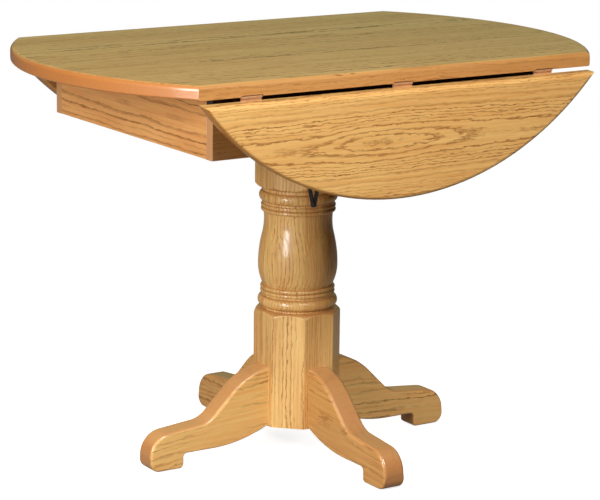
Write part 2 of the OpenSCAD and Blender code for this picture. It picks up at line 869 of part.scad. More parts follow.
// Bracket whose plate lies on wood at z = 0 and whose ear carries the pivot at z = -stand
module bracket(ear_x) {
    stand = stay_stand;
    difference() {
        union() {
            translate([-bracket_w / 2, -bracket_l / 2, -flap_t]) cube([bracket_w, bracket_l, flap_t]);
            translate([ear_x, -eye_r, -stand]) cube([ear_t, 2 * eye_r, stand - flap_t / 2]);
            rod_x(ear_x, ear_x + ear_t, 0, -stand, eye_r);
        }
        rod_x(ear_x - eps, ear_x + ear_t + eps, 0, -stand, rivet_r + snug_gap);
        translate([0, 0, -flap_t]) bracket_screws() screw_hole(screw_l, screw_r, screw_head_r);
    }
}

module front_apron_bracket() {
    color([0.12, 0.12, 0.13]) translate([-stay_x, -apron_face, pivot_a[1]]) rotate([-90, 0, 0]) bracket(apron_ear_x);
}

module front_leaf_bracket() {
    color([0.12, 0.12, 0.13]) hang() translate([-stay_x, -pin_s - leaf_pivot_b, under_z]) bracket(leaf_ear_x);
}

module stay_front_apron_bracket() {
    front_apron_bracket();
}

module stay_back_apron_bracket() {
    to_back() front_apron_bracket();
}

module stay_front_apron_arm() {
    stay_arm(pivot_a, elbow_rest, apron_arm_l, -apron_crank, apron_arm_x);
}

module stay_back_apron_arm() {
    to_back() stay_front_apron_arm();
}

module stay_front_leaf_arm() {
    stay_arm(pivot_b, elbow_rest, leaf_arm_l, leaf_crank, leaf_arm_x);
}

module stay_back_leaf_arm() {
    to_back() stay_front_leaf_arm();
}

module stay_front_leaf_bracket() {
    front_leaf_bracket();
}

module stay_back_leaf_bracket() {
    to_back() front_leaf_bracket();
}

module stay_apron_rivets() {
    for (side = [0, 180]) rotate([0, 0, side])
        stay_rivet(pivot_a, apron_ear_x, apron_arm_x + arm_t + arm_gap / 2, true, true);
}

module stay_front_elbow_rivet() {
    stay_rivet(elbow_rest, apron_arm_x, apron_arm_x + arm_t + arm_gap / 2, true, false);
}

module stay_front_elbow_head() {
    stay_rivet(elbow_rest, leaf_arm_x - arm_gap / 2, leaf_arm_x + arm_t, false, true);
}

module stay_front_leaf_rivet() {
    stay_rivet(pivot_b, leaf_arm_x - arm_gap / 2, leaf_ear_x + ear_t, true, true);
}

module stay_back_elbow_rivet() {
    to_back() stay_front_elbow_rivet();
}

module stay_back_elbow_head() {
    to_back() stay_front_elbow_head();
}

module stay_back_leaf_rivet() {
    to_back() stay_front_leaf_rivet();
}

top_centre();
leaf_front();
leaf_back();
apron_front();
apron_back();
apron_left();
apron_right();
corner_blocks();
batten_left();
batten_right();
mounting_plate();
column();
leg_left();
leg_right();
leg_front();
leg_back();
leg_bolts();
leg_washers();
leg_nuts();
column_screws();
plate_bolts();
plate_washers();
plate_inserts();
batten_screws();
block_screws();
foot_glides();
hinge_front_left_top_flap();
hinge_front_middle_top_flap();
hinge_front_right_top_flap();
hinge_back_left_top_flap();
hinge_back_middle_top_flap();
hinge_back_right_top_flap();
hinge_front_left_leaf_flap();
hinge_front_middle_leaf_flap();
hinge_front_right_leaf_flap();
hinge_back_left_leaf_flap();
hinge_back_middle_leaf_flap();
hinge_back_right_leaf_flap();
hinge_pins();
top_screws();
leaf_front_screws();
leaf_back_screws();
stay_front_apron_bracket();
stay_front_apron_arm();
stay_front_leaf_arm();
stay_front_leaf_bracket();
stay_back_apron_bracket();
stay_back_apron_arm();
stay_back_leaf_arm();
stay_back_leaf_bracket();
stay_apron_rivets();
stay_front_elbow_rivet();
stay_front_elbow_head();
stay_front_leaf_rivet();
stay_back_elbow_rivet();
stay_back_elbow_head();
stay_back_leaf_rivet();
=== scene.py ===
"""A drop-leaf pedestal table in golden oak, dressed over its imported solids.

The boards of the top, the apron box, the carrier, the turned column, the scrolled legs, the hinges, the
folding stays and the fixings each have a class. A class holds the real sizes of its pieces, builds what the
solids leave plain and gives every surface its finish. Lengths in the classes are in millimetres, as a maker
writes them.
"""

from __future__ import annotations

import logging
import math
from collections.abc import Iterable
from dataclasses import dataclass
from enum import Enum
from functools import partial

import bmesh
import bpy
from bmesh.types import BMesh
from bpy.types import Material, Mesh, Node, NodeOutputs, NodeSocket, NodeTree, Object
from mathutils import Matrix, Vector

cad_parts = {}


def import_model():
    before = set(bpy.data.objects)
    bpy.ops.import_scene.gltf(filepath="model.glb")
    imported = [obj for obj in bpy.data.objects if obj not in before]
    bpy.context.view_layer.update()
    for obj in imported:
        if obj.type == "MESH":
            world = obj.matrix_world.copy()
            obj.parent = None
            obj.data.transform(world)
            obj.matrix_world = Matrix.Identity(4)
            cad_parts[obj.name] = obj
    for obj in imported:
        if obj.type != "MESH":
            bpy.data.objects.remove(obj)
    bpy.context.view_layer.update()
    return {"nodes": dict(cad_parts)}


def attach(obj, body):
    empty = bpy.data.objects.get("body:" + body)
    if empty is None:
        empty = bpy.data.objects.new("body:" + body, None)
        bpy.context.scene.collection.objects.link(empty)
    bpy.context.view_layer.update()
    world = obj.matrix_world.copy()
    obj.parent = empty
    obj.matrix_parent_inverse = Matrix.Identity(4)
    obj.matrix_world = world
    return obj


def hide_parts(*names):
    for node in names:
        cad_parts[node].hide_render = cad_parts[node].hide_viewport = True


LOG = logging.getLogger("table")
MM = 0.001
EIGHTH = math.pi / 4
HALF_TURN = Matrix.Rotation(math.pi, 3, "Z")
UP, DOWN, INWARD, RIGHT = Vector((0, 0, 1)), Vector((0, 0, -1)), Vector((0, 1, 0)), Vector((1, 0, 0))
GLASSY = 1.5  # the refractive index of lacquer, paint and nylon
WHITE = (1, 1, 1, 1)

COORDS, SPLIT, JOIN = "ShaderNodeTexCoord", "ShaderNodeSeparateXYZ", "ShaderNodeCombineXYZ"
NOISE, RANGE, MIX, BUMP = "ShaderNodeTexNoise", "ShaderNodeMapRange", "ShaderNodeMix", "ShaderNodeBump"
VECTOR, PRINCIPLED = "ShaderNodeVectorMath", "ShaderNodeBsdfPrincipled"
SMOOTH = {"interpolation_type": "SMOOTHSTEP"}

Pair = tuple[float, float]
Triple = tuple[float, float, float]
Points = list[Pair]
Places = list[tuple[Vector, Vector]]


def linear(code: str) -> tuple[float, float, float, float]:
    """Turns an sRGB hex code into linear colour.

    Args:
        code: a hash and six hex digits.

    Returns:
        Red, green and blue from 0 to 1, and an alpha of 1.
    """
    parts = [int(code[i : i + 2], 16) / 255 for i in (1, 3, 5)]
    r, g, b = (p / 12.92 if p <= 0.04045 else ((p + 0.055) / 1.055) ** 2.4 for p in parts)
    return r, g, b, 1.0


def add(tree: NodeTree, kind: str, *given: object, **settings: object) -> Node:
    """Adds one node with its settings and links.

    Args:
        tree: the tree that gets the node.
        kind: the node's type or, in capitals, the operation of a maths node.
        given: what its inputs get, in order or in one dict by name or number: a value, a socket, a node whose
            first output feeds it, or a list of these.
        settings: the node's own properties.

    Returns:
        The new node.
    """
    if kind.isupper():
        settings["operation"] = kind
        kind = "ShaderNodeMath"
    node = tree.nodes.new(kind)
    for name, value in settings.items():
        setattr(node, name, value)
    inputs = given[0] if given and isinstance(given[0], dict) else dict(enumerate(given))
    for key, wanted in inputs.items():
        for value in wanted if isinstance(wanted, list) else [wanted]:
            if isinstance(value, Node):
                value = value.outputs[0]
            if isinstance(value, NodeSocket):
                tree.links.new(value, node.inputs[key])
            else:
                node.inputs[key].default_value = value
    return node


def new_group(name: str, kind: str, inputs: dict[str, str], outputs: dict[str, str]) -> NodeTree:
    """Starts a node group with its named sockets.

    Args:
        name: the group's name.
        kind: its type.
        inputs: for each input's name its type, such as Float.
        outputs: for each output's name its type.

    Returns:
        The group, with no nodes yet.
    """
    tree = bpy.data.node_groups.new(name, kind)
    for way, sockets in (("INPUT", inputs), ("OUTPUT", outputs)):
        for socket, value in sockets.items():
            tree.interface.new_socket(socket, in_out=way, socket_type=f"NodeSocket{value}")
    return tree


def run_tree(piece: Object, tree: NodeTree, values: dict[str, object]) -> Object:
    """Runs a Geometry Nodes tree on an object, with its inputs set by their identifiers.

    Args:
        piece: the object, which is used up.
        tree: the tree.
        values: for the name of each of its inputs the value.

    Returns:
        What the tree makes, as a plain mesh with its faces turned outwards.
    """
    modifier = piece.modifiers.new(tree.name, "NODES")
    modifier.node_group = tree
    for socket in tree.interface.items_tree:
        if socket.in_out == "INPUT" and socket.name in values:
            modifier[socket.identifier] = values[socket.name]
    made = baked(piece)
    bm = bmesh.new()
    bm.from_mesh(made.data)
    bmesh.ops.recalc_face_normals(bm, faces=bm.faces)
    bm.to_mesh(made.data)
    bm.free()
    return made


def arc(centre: Pair, radius: float, start: float, end: float, steps: int) -> Points:
    """Lists points on an arc.

    Args:
        centre: the arc's centre.
        radius: its radius.
        start: the angle of its first point in degrees.
        end: the angle of its last point in degrees.
        steps: how many steps there are between them.

    Returns:
        The points, both ends included.
    """
    angles = [math.radians(start + (end - start) * i / steps) for i in range(steps + 1)]
    return [(centre[0] + radius * math.cos(a), centre[1] + radius * math.sin(a)) for a in angles]


def shown(mesh: Mesh, name: str) -> Object:
    """Puts a mesh into the scene.

    Args:
        mesh: the mesh, in metres and in place.
        name: the name of its object.

    Returns:
        The object, at the origin.
    """
    made = bpy.data.objects.new(name, mesh)
    bpy.context.scene.collection.objects.link(made)
    return made


def cast(bm: BMesh, name: str) -> Object:
    """Makes an object of a finished bmesh.

    Args:
        bm: the bmesh, which is used up.
        name: the object's name.

    Returns:
        The object, at the origin.
    """
    mesh = bpy.data.meshes.new(name)
    bm.to_mesh(mesh)
    bm.free()
    return shown(mesh, name)


def baked(rough: Object) -> Object:
    """Applies an object's modifiers.

    Args:
        rough: the object with live modifiers, which is used up.

    Returns:
        A new object of the same name with a plain mesh.
    """
    name = rough.name
    bpy.context.view_layer.update()
    graph = bpy.context.evaluated_depsgraph_get()
    mesh = bpy.data.meshes.new_from_object(
        rough.evaluated_get(graph), preserve_all_data_layers=True, depsgraph=graph
    )
    bpy.data.objects.remove(rough)
    mesh.name = name
    return shown(mesh, name)


def smoothed(piece: Object, angle: float = 40.0) -> Object:
    """Shades a piece smooth up to an angle, with its broad faces left flat.

    Args:
        piece: the piece, which is used up.
        angle: edges sharper than this many degrees stay sharp.

    Returns:
        The piece with its shading baked in.
    """
    piece.data.shade_smooth()
    piece.data.set_sharp_from_angle(angle=math.radians(angle))
    weighted = piece.modifiers.new("broad faces stay flat", "WEIGHTED_NORMAL")
    weighted.keep_sharp = True
    weighted.weight = 80
    return baked(piece)


class Layout(Enum):
    """How the boards of a wooden piece lie beside each other."""

    SLAB = "one board"
    PLANKS = "boards glued edge to edge"
    STAVES = "eight staves round an upright axis"


@dataclass(frozen=True)
class Finish:
    """A finish drawn with nodes, whose material is made at its first use."""

    name: str

    def surface(self, tree: NodeTree) -> Node:
        """Draws the finish; each kind has its own.

        Args:
            tree: the material's tree.

        Returns:
            The shader.
        """
        raise NotImplementedError

    def material(self) -> Material:
        """Makes the material once.

        Returns:
            The material.
        """
        known = bpy.data.materials.get(self.name)
        if known:
            return known
        made = bpy.data.materials.new(self.name)
        made.use_nodes = True
        tree = made.node_tree
        tree.nodes.clear()
        add(tree, "ShaderNodeOutputMaterial", self.surface(tree))
        return made


class OakFigure:
    """The growth rings, vessels and tone of oak inside one board, as a node group that all wood shares."""

    name = "oak figure"
    sizes = ("Board", "Ring", "Pith depth", "Pith spread", "Wander", "Arch at", "Arch pull", "Unrest", "Fade")

    @classmethod
    def group(cls) -> NodeTree:
        """Builds the group at its first use.

        Returns:
            The node group.
        """
        known = bpy.data.node_groups.get(cls.name)
        if known:
            return known
        inputs = {"Place": "Vector"} | dict.fromkeys(cls.sizes, "Float")
        outputs = {"Dark": "Float", "Tone": "Float", "Vessels": "Float"}
        tree = new_group(cls.name, "ShaderNodeTree", inputs, outputs)
        node = partial(add, tree)
        given = node("NodeGroupInput").outputs
        board = given["Board"]
        # No two boards share their luck. The factors only keep the boards' draws from running alike.
        luck = node("ShaderNodeTexWhiteNoise", {"W": board}, noise_dimensions="1D")
        chance = node("ShaderNodeSeparateColor", luck.outputs["Color"]).outputs
        along, across, into = node(SPLIT, given["Place"]).outputs
        apart = node("MULTIPLY", board, 3.71)

        # Each pattern's mean length along and across the grain in mm, its detail and its other inputs.
        # Vessels are cut lengthwise into dashes: real ones are 0.3 mm wide and drawn near 1.3 mm to show.
        noise = {}
        for name, long, wide, detail, more in (
            ("drift", 420, 900, 1.0, {"W": apart}),
            ("wave", 95, 30, 1.0, {"W": apart}),
            ("fray", 17, 4.5, 2.0, {}),
            ("fading", 170, 32, 1.0, {"W": apart}),
            ("dash", 26, 1.3, 2.0, {"Roughness": 0.6}),
            ("cloud", 260, 60, 2.0, {"W": board}),
            ("streak", 150, 5, 3.0, {"W": board}),
        ):
            at = node(VECTOR, given["Place"], (1 / long, 1 / wide, 1 / wide), operation="MULTIPLY")
            inputs = {"Vector": at, "Scale": 1.0, "Detail": detail} | more
            noise[name] = node(NOISE, inputs, noise_dimensions="4D" if "W" in more else "3D")

        # The pith wanders along the board, and where it dips the rings come up as long pointed arches.
        sway = node("ShaderNodeSeparateColor", noise["drift"].outputs["Color"]).outputs
        swing = node("MULTIPLY", given["Wander"], 2.0)
        off = node("MULTIPLY", node("SUBTRACT", chance[0], 0.5), given["Pith spread"])
        off = node("MULTIPLY_ADD", node("SUBTRACT", sway[0], 0.5), swing, off)
        deep = node("MULTIPLY", node("MULTIPLY_ADD", chance[1], 0.9, 0.55), given["Pith depth"])
        deep = node("MULTIPLY_ADD", node("SUBTRACT", sway[1], 0.5), swing, deep)
        # A branch once bent the rings here, and they close into an eye of about 200 mm.
        from_arch = node("MULTIPLY", node("SUBTRACT", along, given["Arch at"]), 1 / 110)
        from_arch = node("ADD", node("MULTIPLY", from_arch, from_arch), 1.0)
        deep = node("SUBTRACT", deep, node("DIVIDE", given["Arch pull"], from_arch))
        aside = node("SUBTRACT", across, off)
        below = node("ADD", into, deep)
        reach = node("SQRT", node("MULTIPLY_ADD", below, below, node("MULTIPLY", aside, aside)))

        # Rings are not true circles: slow waves of 2 mm, and the ragged edge of 1 mm of coarse vessels.
        uneven = node("MULTIPLY", node("SUBTRACT", noise["wave"], 0.5), 12.0)
        uneven = node("MULTIPLY_ADD", node("SUBTRACT", noise["fray"], 0.5), 7.5, uneven)
        reach = node("MULTIPLY_ADD", uneven, given["Unrest"], reach)
        # Good and poor years: rings differ in width, and their early wood in strength.
        count = node("DIVIDE", reach, given["Ring"])
        pace_at = node("MULTIPLY_ADD", count, 0.31, board)
        pace = node(NOISE, {"W": pace_at, "Scale": 1.0, "Detail": 0.0}, noise_dimensions="1D")
        count = node("MULTIPLY_ADD", node("SUBTRACT", pace, 0.5), 1.3, count)
        phase = node("FRACT", count)
        year = node("MULTIPLY_ADD", board, 13.7, node("FLOOR", count))
        year_luck = node("ShaderNodeTexWhiteNoise", {"W": year}, noise_dimensions="1D")
        power = node(RANGE, year_luck.outputs["Value"], 0.0, 1.0, 0.3, 1.1)

        # Early wood starts at once and fades into late wood within half a ring.
        starts = node(RANGE, phase, 0.0, 0.08, **SMOOTH)
        fades = node(RANGE, phase, 0.1, 0.48, 1.0, 0.0, **SMOOTH)
        early = node("MULTIPLY", node("MULTIPLY", starts, fades), power)
        # In places the figure all but fades out.
        early = node("MULTIPLY", early, node(RANGE, noise["fading"], 0.38, 0.56, given["Fade"], 1.0))
        dashes = node(RANGE, noise["dash"], 0.42, 0.66)
        dark = node("MULTIPLY", early, node("MULTIPLY_ADD", dashes, 0.6, 0.6))
        dark = node("MULTIPLY_ADD", dashes, 0.1, dark, use_clamp=True)
        vessels = node("MULTIPLY", node("MULTIPLY_ADD", early, 0.75, 0.25), dashes)

        mixed = node("MULTIPLY_ADD", noise["streak"], 1.3, node("MULTIPLY", noise["cloud"], 0.7))
        mixed = node("MULTIPLY_ADD", chance[2], 0.35, mixed)
        tone = node(RANGE, mixed, 0.75, 1.6)
        node("NodeGroupOutput", {"Dark": dark, "Tone": tone, "Vessels": vessels})
        return tree


@dataclass(frozen=True)
class Oak(Finish):
    """Golden oak, planed or turned, coloured by staining and finished with gloss lacquer.

    The staining sits in the early wood as brown lines on a honey ground, end grain drinks more of it and goes
    orange brown, and the lacquer lays a clear shine over all of it. Plainer wood is drawn in the same way.
    """

    # The object's axes along, across and into the board, and how and where its boards lie.
    axes: str = "XYZ"
    layout: Layout = Layout.SLAB
    width: float = 90.0
    centre: Pair = (0.0, 0.0)
    tilt: float = 0.0
    seed: float = 1.0
    # The figure: a ring's width, where the pith runs, the eye that it draws and how uneven and faint it gets.
    ring: float = 7.0
    pith_depth: float = 40.0
    pith_spread: float = 60.0
    wander: float = 22.0
    arch_at: float = 0.0
    arch_pull: float = 0.0
    unrest: float = 1.0
    fade: float = 0.45
    # How far plain tones hide it at edges, ends and undersides.
    # Above a given height a painted shadow makes it near black.
    plain_edge: float = 0.0
    sawn_down: bool = False
    painted_shadow_above: float = 0.0
    painted_shadow_fade: float = 12.0
    under: float = 0.0
    end_from: float = 0.3
    end_share: float = 0.93
    pale: str = "#f2c075"
    warm: str = "#da9448"
    dark: str = "#96581c"
    end: str = "#bb7438"
    edge: str = "#d08a48"
    # The near black of the painted shadow.
    painted_shadow_colour: str = "#1c0e07"
    underside_brown: str = "#7d4b24"
    lacquer: float = 0.9
    gloss: float = 0.07
    sheen: float = 0.45

    def place(self, tree: NodeTree) -> tuple[object, object]:
        """Finds where a point lies in its own board.

        Args:
            tree: the material's tree.

        Returns:
            The place along, across and into the board in millimetres, and the board's number.
        """
        node = partial(add, tree)
        scaled = node(VECTOR, node(COORDS).outputs["Object"], (1000, 1000, 1000), operation="MULTIPLY")
        apart = node(SPLIT, scaled).outputs
        along, across, into = (apart["XYZ".index(letter)] for letter in self.axes)
        board: object = self.seed
        step = 7.31  # from one board's number to the next one's
        if self.layout is Layout.STAVES:
            stave = node("ROUND", node("DIVIDE", node("ARCTAN2", into, across), EIGHTH))
            turned = node("MULTIPLY", stave, EIGHTH)
            cos, sin = node("COSINE", turned), node("SINE", turned)
            out = node("MULTIPLY_ADD", into, sin, node("MULTIPLY", across, cos))
            across = node("SUBTRACT", node("MULTIPLY", into, cos), node("MULTIPLY", across, sin))
            into = out
            board = node("MULTIPLY_ADD", stave, step, self.seed)
        across = node("SUBTRACT", across, self.centre[0])
        into = node("SUBTRACT", into, self.centre[1])
        if self.layout is Layout.PLANKS:
            planks = node("DIVIDE", across, self.width)
            across = node("MULTIPLY", node("SUBTRACT", node("FRACT", planks), 0.5), self.width)
            board = node("MULTIPLY_ADD", node("FLOOR", planks), step, self.seed)
        place = node(JOIN, along, across, into)
        if self.tilt:
            turn = {"Vector": place, "Angle": math.radians(-self.tilt)}
            place = node("ShaderNodeVectorRotate", turn, rotation_type="Z_AXIS")
        return place, board

    def surface(self, tree: NodeTree) -> Node:
        """Draws the figure and the stain, layer over layer, under the lacquer.

        Args:
            tree: the material's tree.

        Returns:
            The shader.
        """
        node = partial(add, tree)
        place, board = self.place(tree)
        sizes = (self.ring, self.pith_depth, self.pith_spread, self.wander, self.arch_at, self.arch_pull)
        inputs = {"Place": place} | dict(zip(OakFigure.sizes, (board, *sizes, self.unrest, self.fade)))
        dark, tone, vessels = node("ShaderNodeGroup", inputs, node_tree=OakFigure.group()).outputs
        faces = node(SPLIT, node(COORDS).outputs["Normal"]).outputs
        endwise, sideways, upright = (faces["XYZ".index(letter)] for letter in self.axes)
        layers = [(tone, self.warm), (dark, self.dark)]
        if self.plain_edge:
            # The board's edge shows the rings side on, so its lines all but vanish.
            side = node("MULTIPLY", sideways, -1.0) if self.sawn_down else node("ABSOLUTE", sideways)
            layers.append((node(RANGE, side, 0.35, 0.75, 0.0, self.plain_edge, **SMOOTH), self.edge))
        facing = node("ABSOLUTE", endwise)
        ends = node(RANGE, facing, self.end_from, self.end_from + 0.3, 0.0, self.end_share, **SMOOTH)
        layers.append((ends, self.end))
        if self.painted_shadow_above:
            # A painted shadow: above the given height the face is painted near black, for the deep shade in
            # the open joint beside the hinges.
            height = node(SPLIT, node(COORDS).outputs["Object"]).outputs["Z"]
            starts = self.painted_shadow_above - self.painted_shadow_fade
            layers.append((node(RANGE, height, starts * MM, self.painted_shadow_above * MM), self.painted_shadow_colour))
        if self.under:
            # Undersides are mixed towards a darker brown.
            below = node("MULTIPLY", upright, self.under)
            layers.append((node(RANGE, below, 0.7, 0.95, 0.0, 0.6), self.underside_brown))
        colour: object = linear(self.pale)
        for share, over in layers:
            colour = node(MIX, {"Factor": share, 6: colour, 7: linear(over)}, data_type="RGBA").outputs[2]
        # The lacquer sinks into the vessels and leaves fine dents.
        dents = node("MULTIPLY", vessels, -1.0)
        relief = node(BUMP, {"Strength": 0.3, "Distance": 0.25 * MM, "Height": dents})
        return node(
            PRINCIPLED,
            {
                "Base Color": colour,
                "Roughness": node(RANGE, vessels, 0.0, 1.0, self.sheen, self.sheen + 0.15),
                "IOR": GLASSY,
                "Normal": relief,
                "Coat Weight": self.lacquer,
                "Coat Roughness": self.gloss,
                "Coat IOR": GLASSY,
                "Coat Normal": relief,
            },
        )


@dataclass(frozen=True)
class Metal(Finish):
    """A plated metal with fine marks from how it was worked."""

    colour: str
    rough: float
    bare: float = 1.0
    marks: float = 0.1

    def surface(self, tree: NodeTree) -> Node:
        """Draws the plating, with marks near 0.5 mm across and cloudy patches near 11 mm.

        Args:
            tree: the material's tree.

        Returns:
            The shader.
        """
        node = partial(add, tree)
        coords = node(COORDS).outputs["Object"]
        patterns = []
        for per_metre, detail in ((2000, 3.0), (90, 2.0)):
            at = node(VECTOR, coords, (per_metre, per_metre, per_metre), operation="MULTIPLY")
            patterns.append(node(NOISE, {"Vector": at, "Scale": 1.0, "Detail": detail}))
        fine, cloud = patterns
        base = linear(self.colour)
        dull = tuple(0.72 * part for part in base[:3]) + (1.0,)
        colour = node(MIX, {"Factor": cloud, 6: base, 7: dull}, data_type="RGBA").outputs[2]
        rough = node(RANGE, fine, 0.0, 1.0, self.rough - self.marks, self.rough + self.marks)
        relief = node(BUMP, {"Strength": 0.1, "Distance": 0.05 * MM, "Height": fine})
        inputs = {"Base Color": colour, "Metallic": self.bare, "Roughness": rough, "Normal": relief}
        return node(PRINCIPLED, inputs)


@dataclass(frozen=True)
class Coating(Finish):
    """A paint or a moulded plastic: one colour, slightly uneven, with a fine orange peel or grain."""

    colour: str
    rough: float
    peel: float = 1.5

    def surface(self, tree: NodeTree) -> Node:
        """Draws the coat with its peel.

        Args:
            tree: the material's tree.

        Returns:
            The shader.
        """
        node = partial(add, tree)
        scale = 1000 / self.peel
        at = node(VECTOR, node(COORDS).outputs["Object"], (scale, scale, scale), operation="MULTIPLY")
        peel = node(NOISE, {"Vector": at, "Scale": 1.0, "Detail": 2.0})
        base = linear(self.colour)
        pale = tuple(min(1.0, 1.5 * part + 0.004) for part in base[:3]) + (1.0,)
        colour = node(MIX, {"Factor": peel, 6: base, 7: pale}, data_type="RGBA").outputs[2]
        rough = node(RANGE, peel, 0.0, 1.0, self.rough - 0.07, self.rough + 0.07)
        relief = node(BUMP, {"Strength": 0.2, "Distance": 0.1 * MM, "Height": peel})
        return node(PRINCIPLED, {"Base Color": colour, "Roughness": rough, "IOR": GLASSY, "Normal": relief})


# Planed poplar under a thin sealer: pale and matt, with soft lines.
INNER = Oak("sealed poplar, planed", "YXZ", ring=9.0, seed=30.0, pale="#d9c49a", warm="#c9b183",
            dark="#a88f62", end="#b39a6c", lacquer=0.0, sheen=0.6)
# Birch plywood under the same sealer: paler, a little smoother, with a broader figure.
PLY = Oak("sealed birch plywood", "XYZ", ring=12.0, seed=31.0, pale="#dcc79f", warm="#cfb78a", dark="#b69c6e",
          end="#a98a5c", lacquer=0.0, sheen=0.55)
# Black paint sprayed on pressed steel: almost no colour, and a soft wide shine on the edges.
BLACK = Coating("black paint on pressed steel", "#050506", 0.55)
# Zinc-plated steel: pale grey, with blurred reflections and cloudy patches.
ZINC = Metal("zinc-plated steel", "#b9b7b0", 0.35)
# Brass-plated steel under a dull lacquer: a warm tan that hides most of the metal's mirror.
BRASS = Metal("dull brass plate on steel, lacquered", "#ddab80", 0.55, bare=0.4)
# Moulded nylon: dark grey and satin, with the grain of its mould.
GLIDE = Coating("moulded nylon glide", "#2c2a28", 0.5)


@dataclass
class Kit:
    """The loaded frame, with the few jobs that every class needs."""

    nodes: dict[str, Object]

    def dress(self, finish: Finish, *names: str) -> None:
        """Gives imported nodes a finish.

        Args:
            finish: the finish.
            names: the nodes' names.
        """
        for name in names:
            for slot in self.nodes[name].material_slots:
                slot.material = finish.material()
            LOG.info("dressed %s in %s", name, finish.name)

    def settle(self, piece: Object, body: str, slot: str, finish: Finish, *names: str) -> None:
        """Gives a finished piece its material, its body and the nodes that it stands for.

        Args:
            piece: the piece, at the origin.
            body: the body it rides on.
            slot: the record's slot that its finish belongs to, which is not used.
            finish: the finish.
            names: the nodes it stands for.
        """
        piece.data.materials.clear()
        piece.data.materials.append(finish.material())
        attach(piece, body)
        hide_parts(*names)
        LOG.info("built %s: %d faces in %s", piece.name, len(piece.data.polygons), finish.name)

    def eased(self, name: str, node: str, ease: float, longer: float) -> Object:
        """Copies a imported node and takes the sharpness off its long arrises.

        Args:
            name: the new piece's name.
            node: the node's name.
            ease: the width of the easing in mm.
            longer: only edges longer than this many mm are eased.

        Returns:
            The new piece.
        """
        bm = bmesh.new()
        bm.from_mesh(self.nodes[node].data)
        bmesh.ops.remove_doubles(bm, verts=bm.verts, dist=1e-6)
        bmesh.ops.dissolve_limit(bm, angle_limit=math.radians(0.5), verts=bm.verts, edges=bm.edges)
        sharp = [
            edge
            for edge in bm.edges
            if len(edge.link_faces) == 2
            and edge.calc_length() > longer * MM
            and edge.is_convex
            and edge.calc_face_angle() > math.radians(50)
        ]
        bmesh.ops.bevel(
            bm, geom=sharp, offset=ease * MM, segments=3, profile=0.5, affect="EDGES", clamp_overlap=False
        )
        return smoothed(cast(bm, name))


@dataclass
class Boards:
    """The fixed centre board and the two leaves, all of one batch of oak."""

    kit: Kit
    height: float = 762.0
    joint: float = 330.0
    plank: float = 94.0
    leaf_middle: float = 640.0

    def build(self) -> None:
        """Dresses the three boards."""
        centre = Oak(
            "lacquered golden oak, centre board", "XYZ", Layout.PLANKS, width=self.plank,
            centre=(0, self.height), seed=3.0, ring=6.0, pith_depth=44, pith_spread=150, wander=12, fade=0.6,
            plain_edge=0.5, under=-1.0, pale="#e3b46e", warm="#cb8a43", dark="#70400f", edge="#b87638")
        leaf = {"pith_spread": 0, "wander": 15, "arch_pull": 12, "plain_edge": 0.85, "edge": "#ae7127",
                "sawn_down": True}
        front = Oak(
            "lacquered golden oak, front leaf", "XZY", centre=(self.leaf_middle, -self.joint), seed=11.0,
            ring=6.6, pith_depth=46, arch_at=-60, fade=0.9, under=1.0, pale="#f5c477", warm="#dd974b",
            end="#ab6d22", lacquer=0.75, **leaf)
        back = Oak(
            "lacquered golden oak, back leaf", "XZY", centre=(self.leaf_middle, self.joint), seed=21.0,
            ring=8.0, pith_depth=42, arch_at=90, under=-1.0, end="#935c22", **leaf)
        for oak, name in ((centre, "top_centre"), (front, "leaf_front"), (back, "leaf_back")):
            self.kit.dress(oak, name)


@dataclass
class ApronBox:
    """The four apron boards under the top and the blocks screwed into their corners."""

    kit: Kit
    ease: float = 1.2
    block_ease: float = 0.8
    middle: float = 680.0
    end_face: float = -344.0
    side_face: float = -271.0
    # Above this height the side aprons are painted near black, a painted shadow in the open joint beside the
    # hinges.
    painted_shadow_above: float = 712.0

    def build(self) -> None:
        """Eases and dresses the boards and the blocks."""
        ends = Oak(
            "lacquered golden oak, end apron", "YZX", centre=(self.middle, self.end_face), seed=5.0,
            ring=13.0, pith_depth=30, pith_spread=0, wander=6, arch_at=-66, arch_pull=24, unrest=0.8,
            fade=0.8, pale="#f5bb73", warm="#dd8f4b", end="#d29a68")
        # The side aprons get much darker colours than the end aprons: painted shade where the hanging leaves
        # shadow them.
        sides = Oak(
            "lacquered golden oak, side apron", "XZY", centre=(self.middle, self.side_face), seed=6.0,
            painted_shadow_above=self.painted_shadow_above, pale="#b28249", warm="#996030", end="#cf9765")
        for name, oak in (("left", ends), ("right", ends), ("front", sides), ("back", sides)):
            board = self.kit.eased(f"apron_{name}_board", f"apron_{name}", self.ease, 60)
            self.kit.settle(board, "table", "oak_apron", oak, f"apron_{name}")
        blocks = self.kit.eased("corner_block_set", "corner_blocks", self.block_ease, 20)
        self.kit.settle(blocks, "table", "hidden_wood", INNER, "corner_blocks")


@dataclass
class Carrier:
    """The two battens and the mounting plate that hold the column under the top."""

    kit: Kit
    ease: float = 1.5

    def build(self) -> None:
        """Eases and dresses the battens and the plate."""
        for node, name, longer, finish in (
            ("batten_left", "batten_left_rail", 20, INNER),
            ("batten_right", "batten_right_rail", 20, INNER),
            ("mounting_plate", "mounting_plate_board", 60, PLY),
        ):
            piece = self.kit.eased(name, node, self.ease, longer)
            self.kit.settle(piece, "table", "hidden_wood", finish, node)


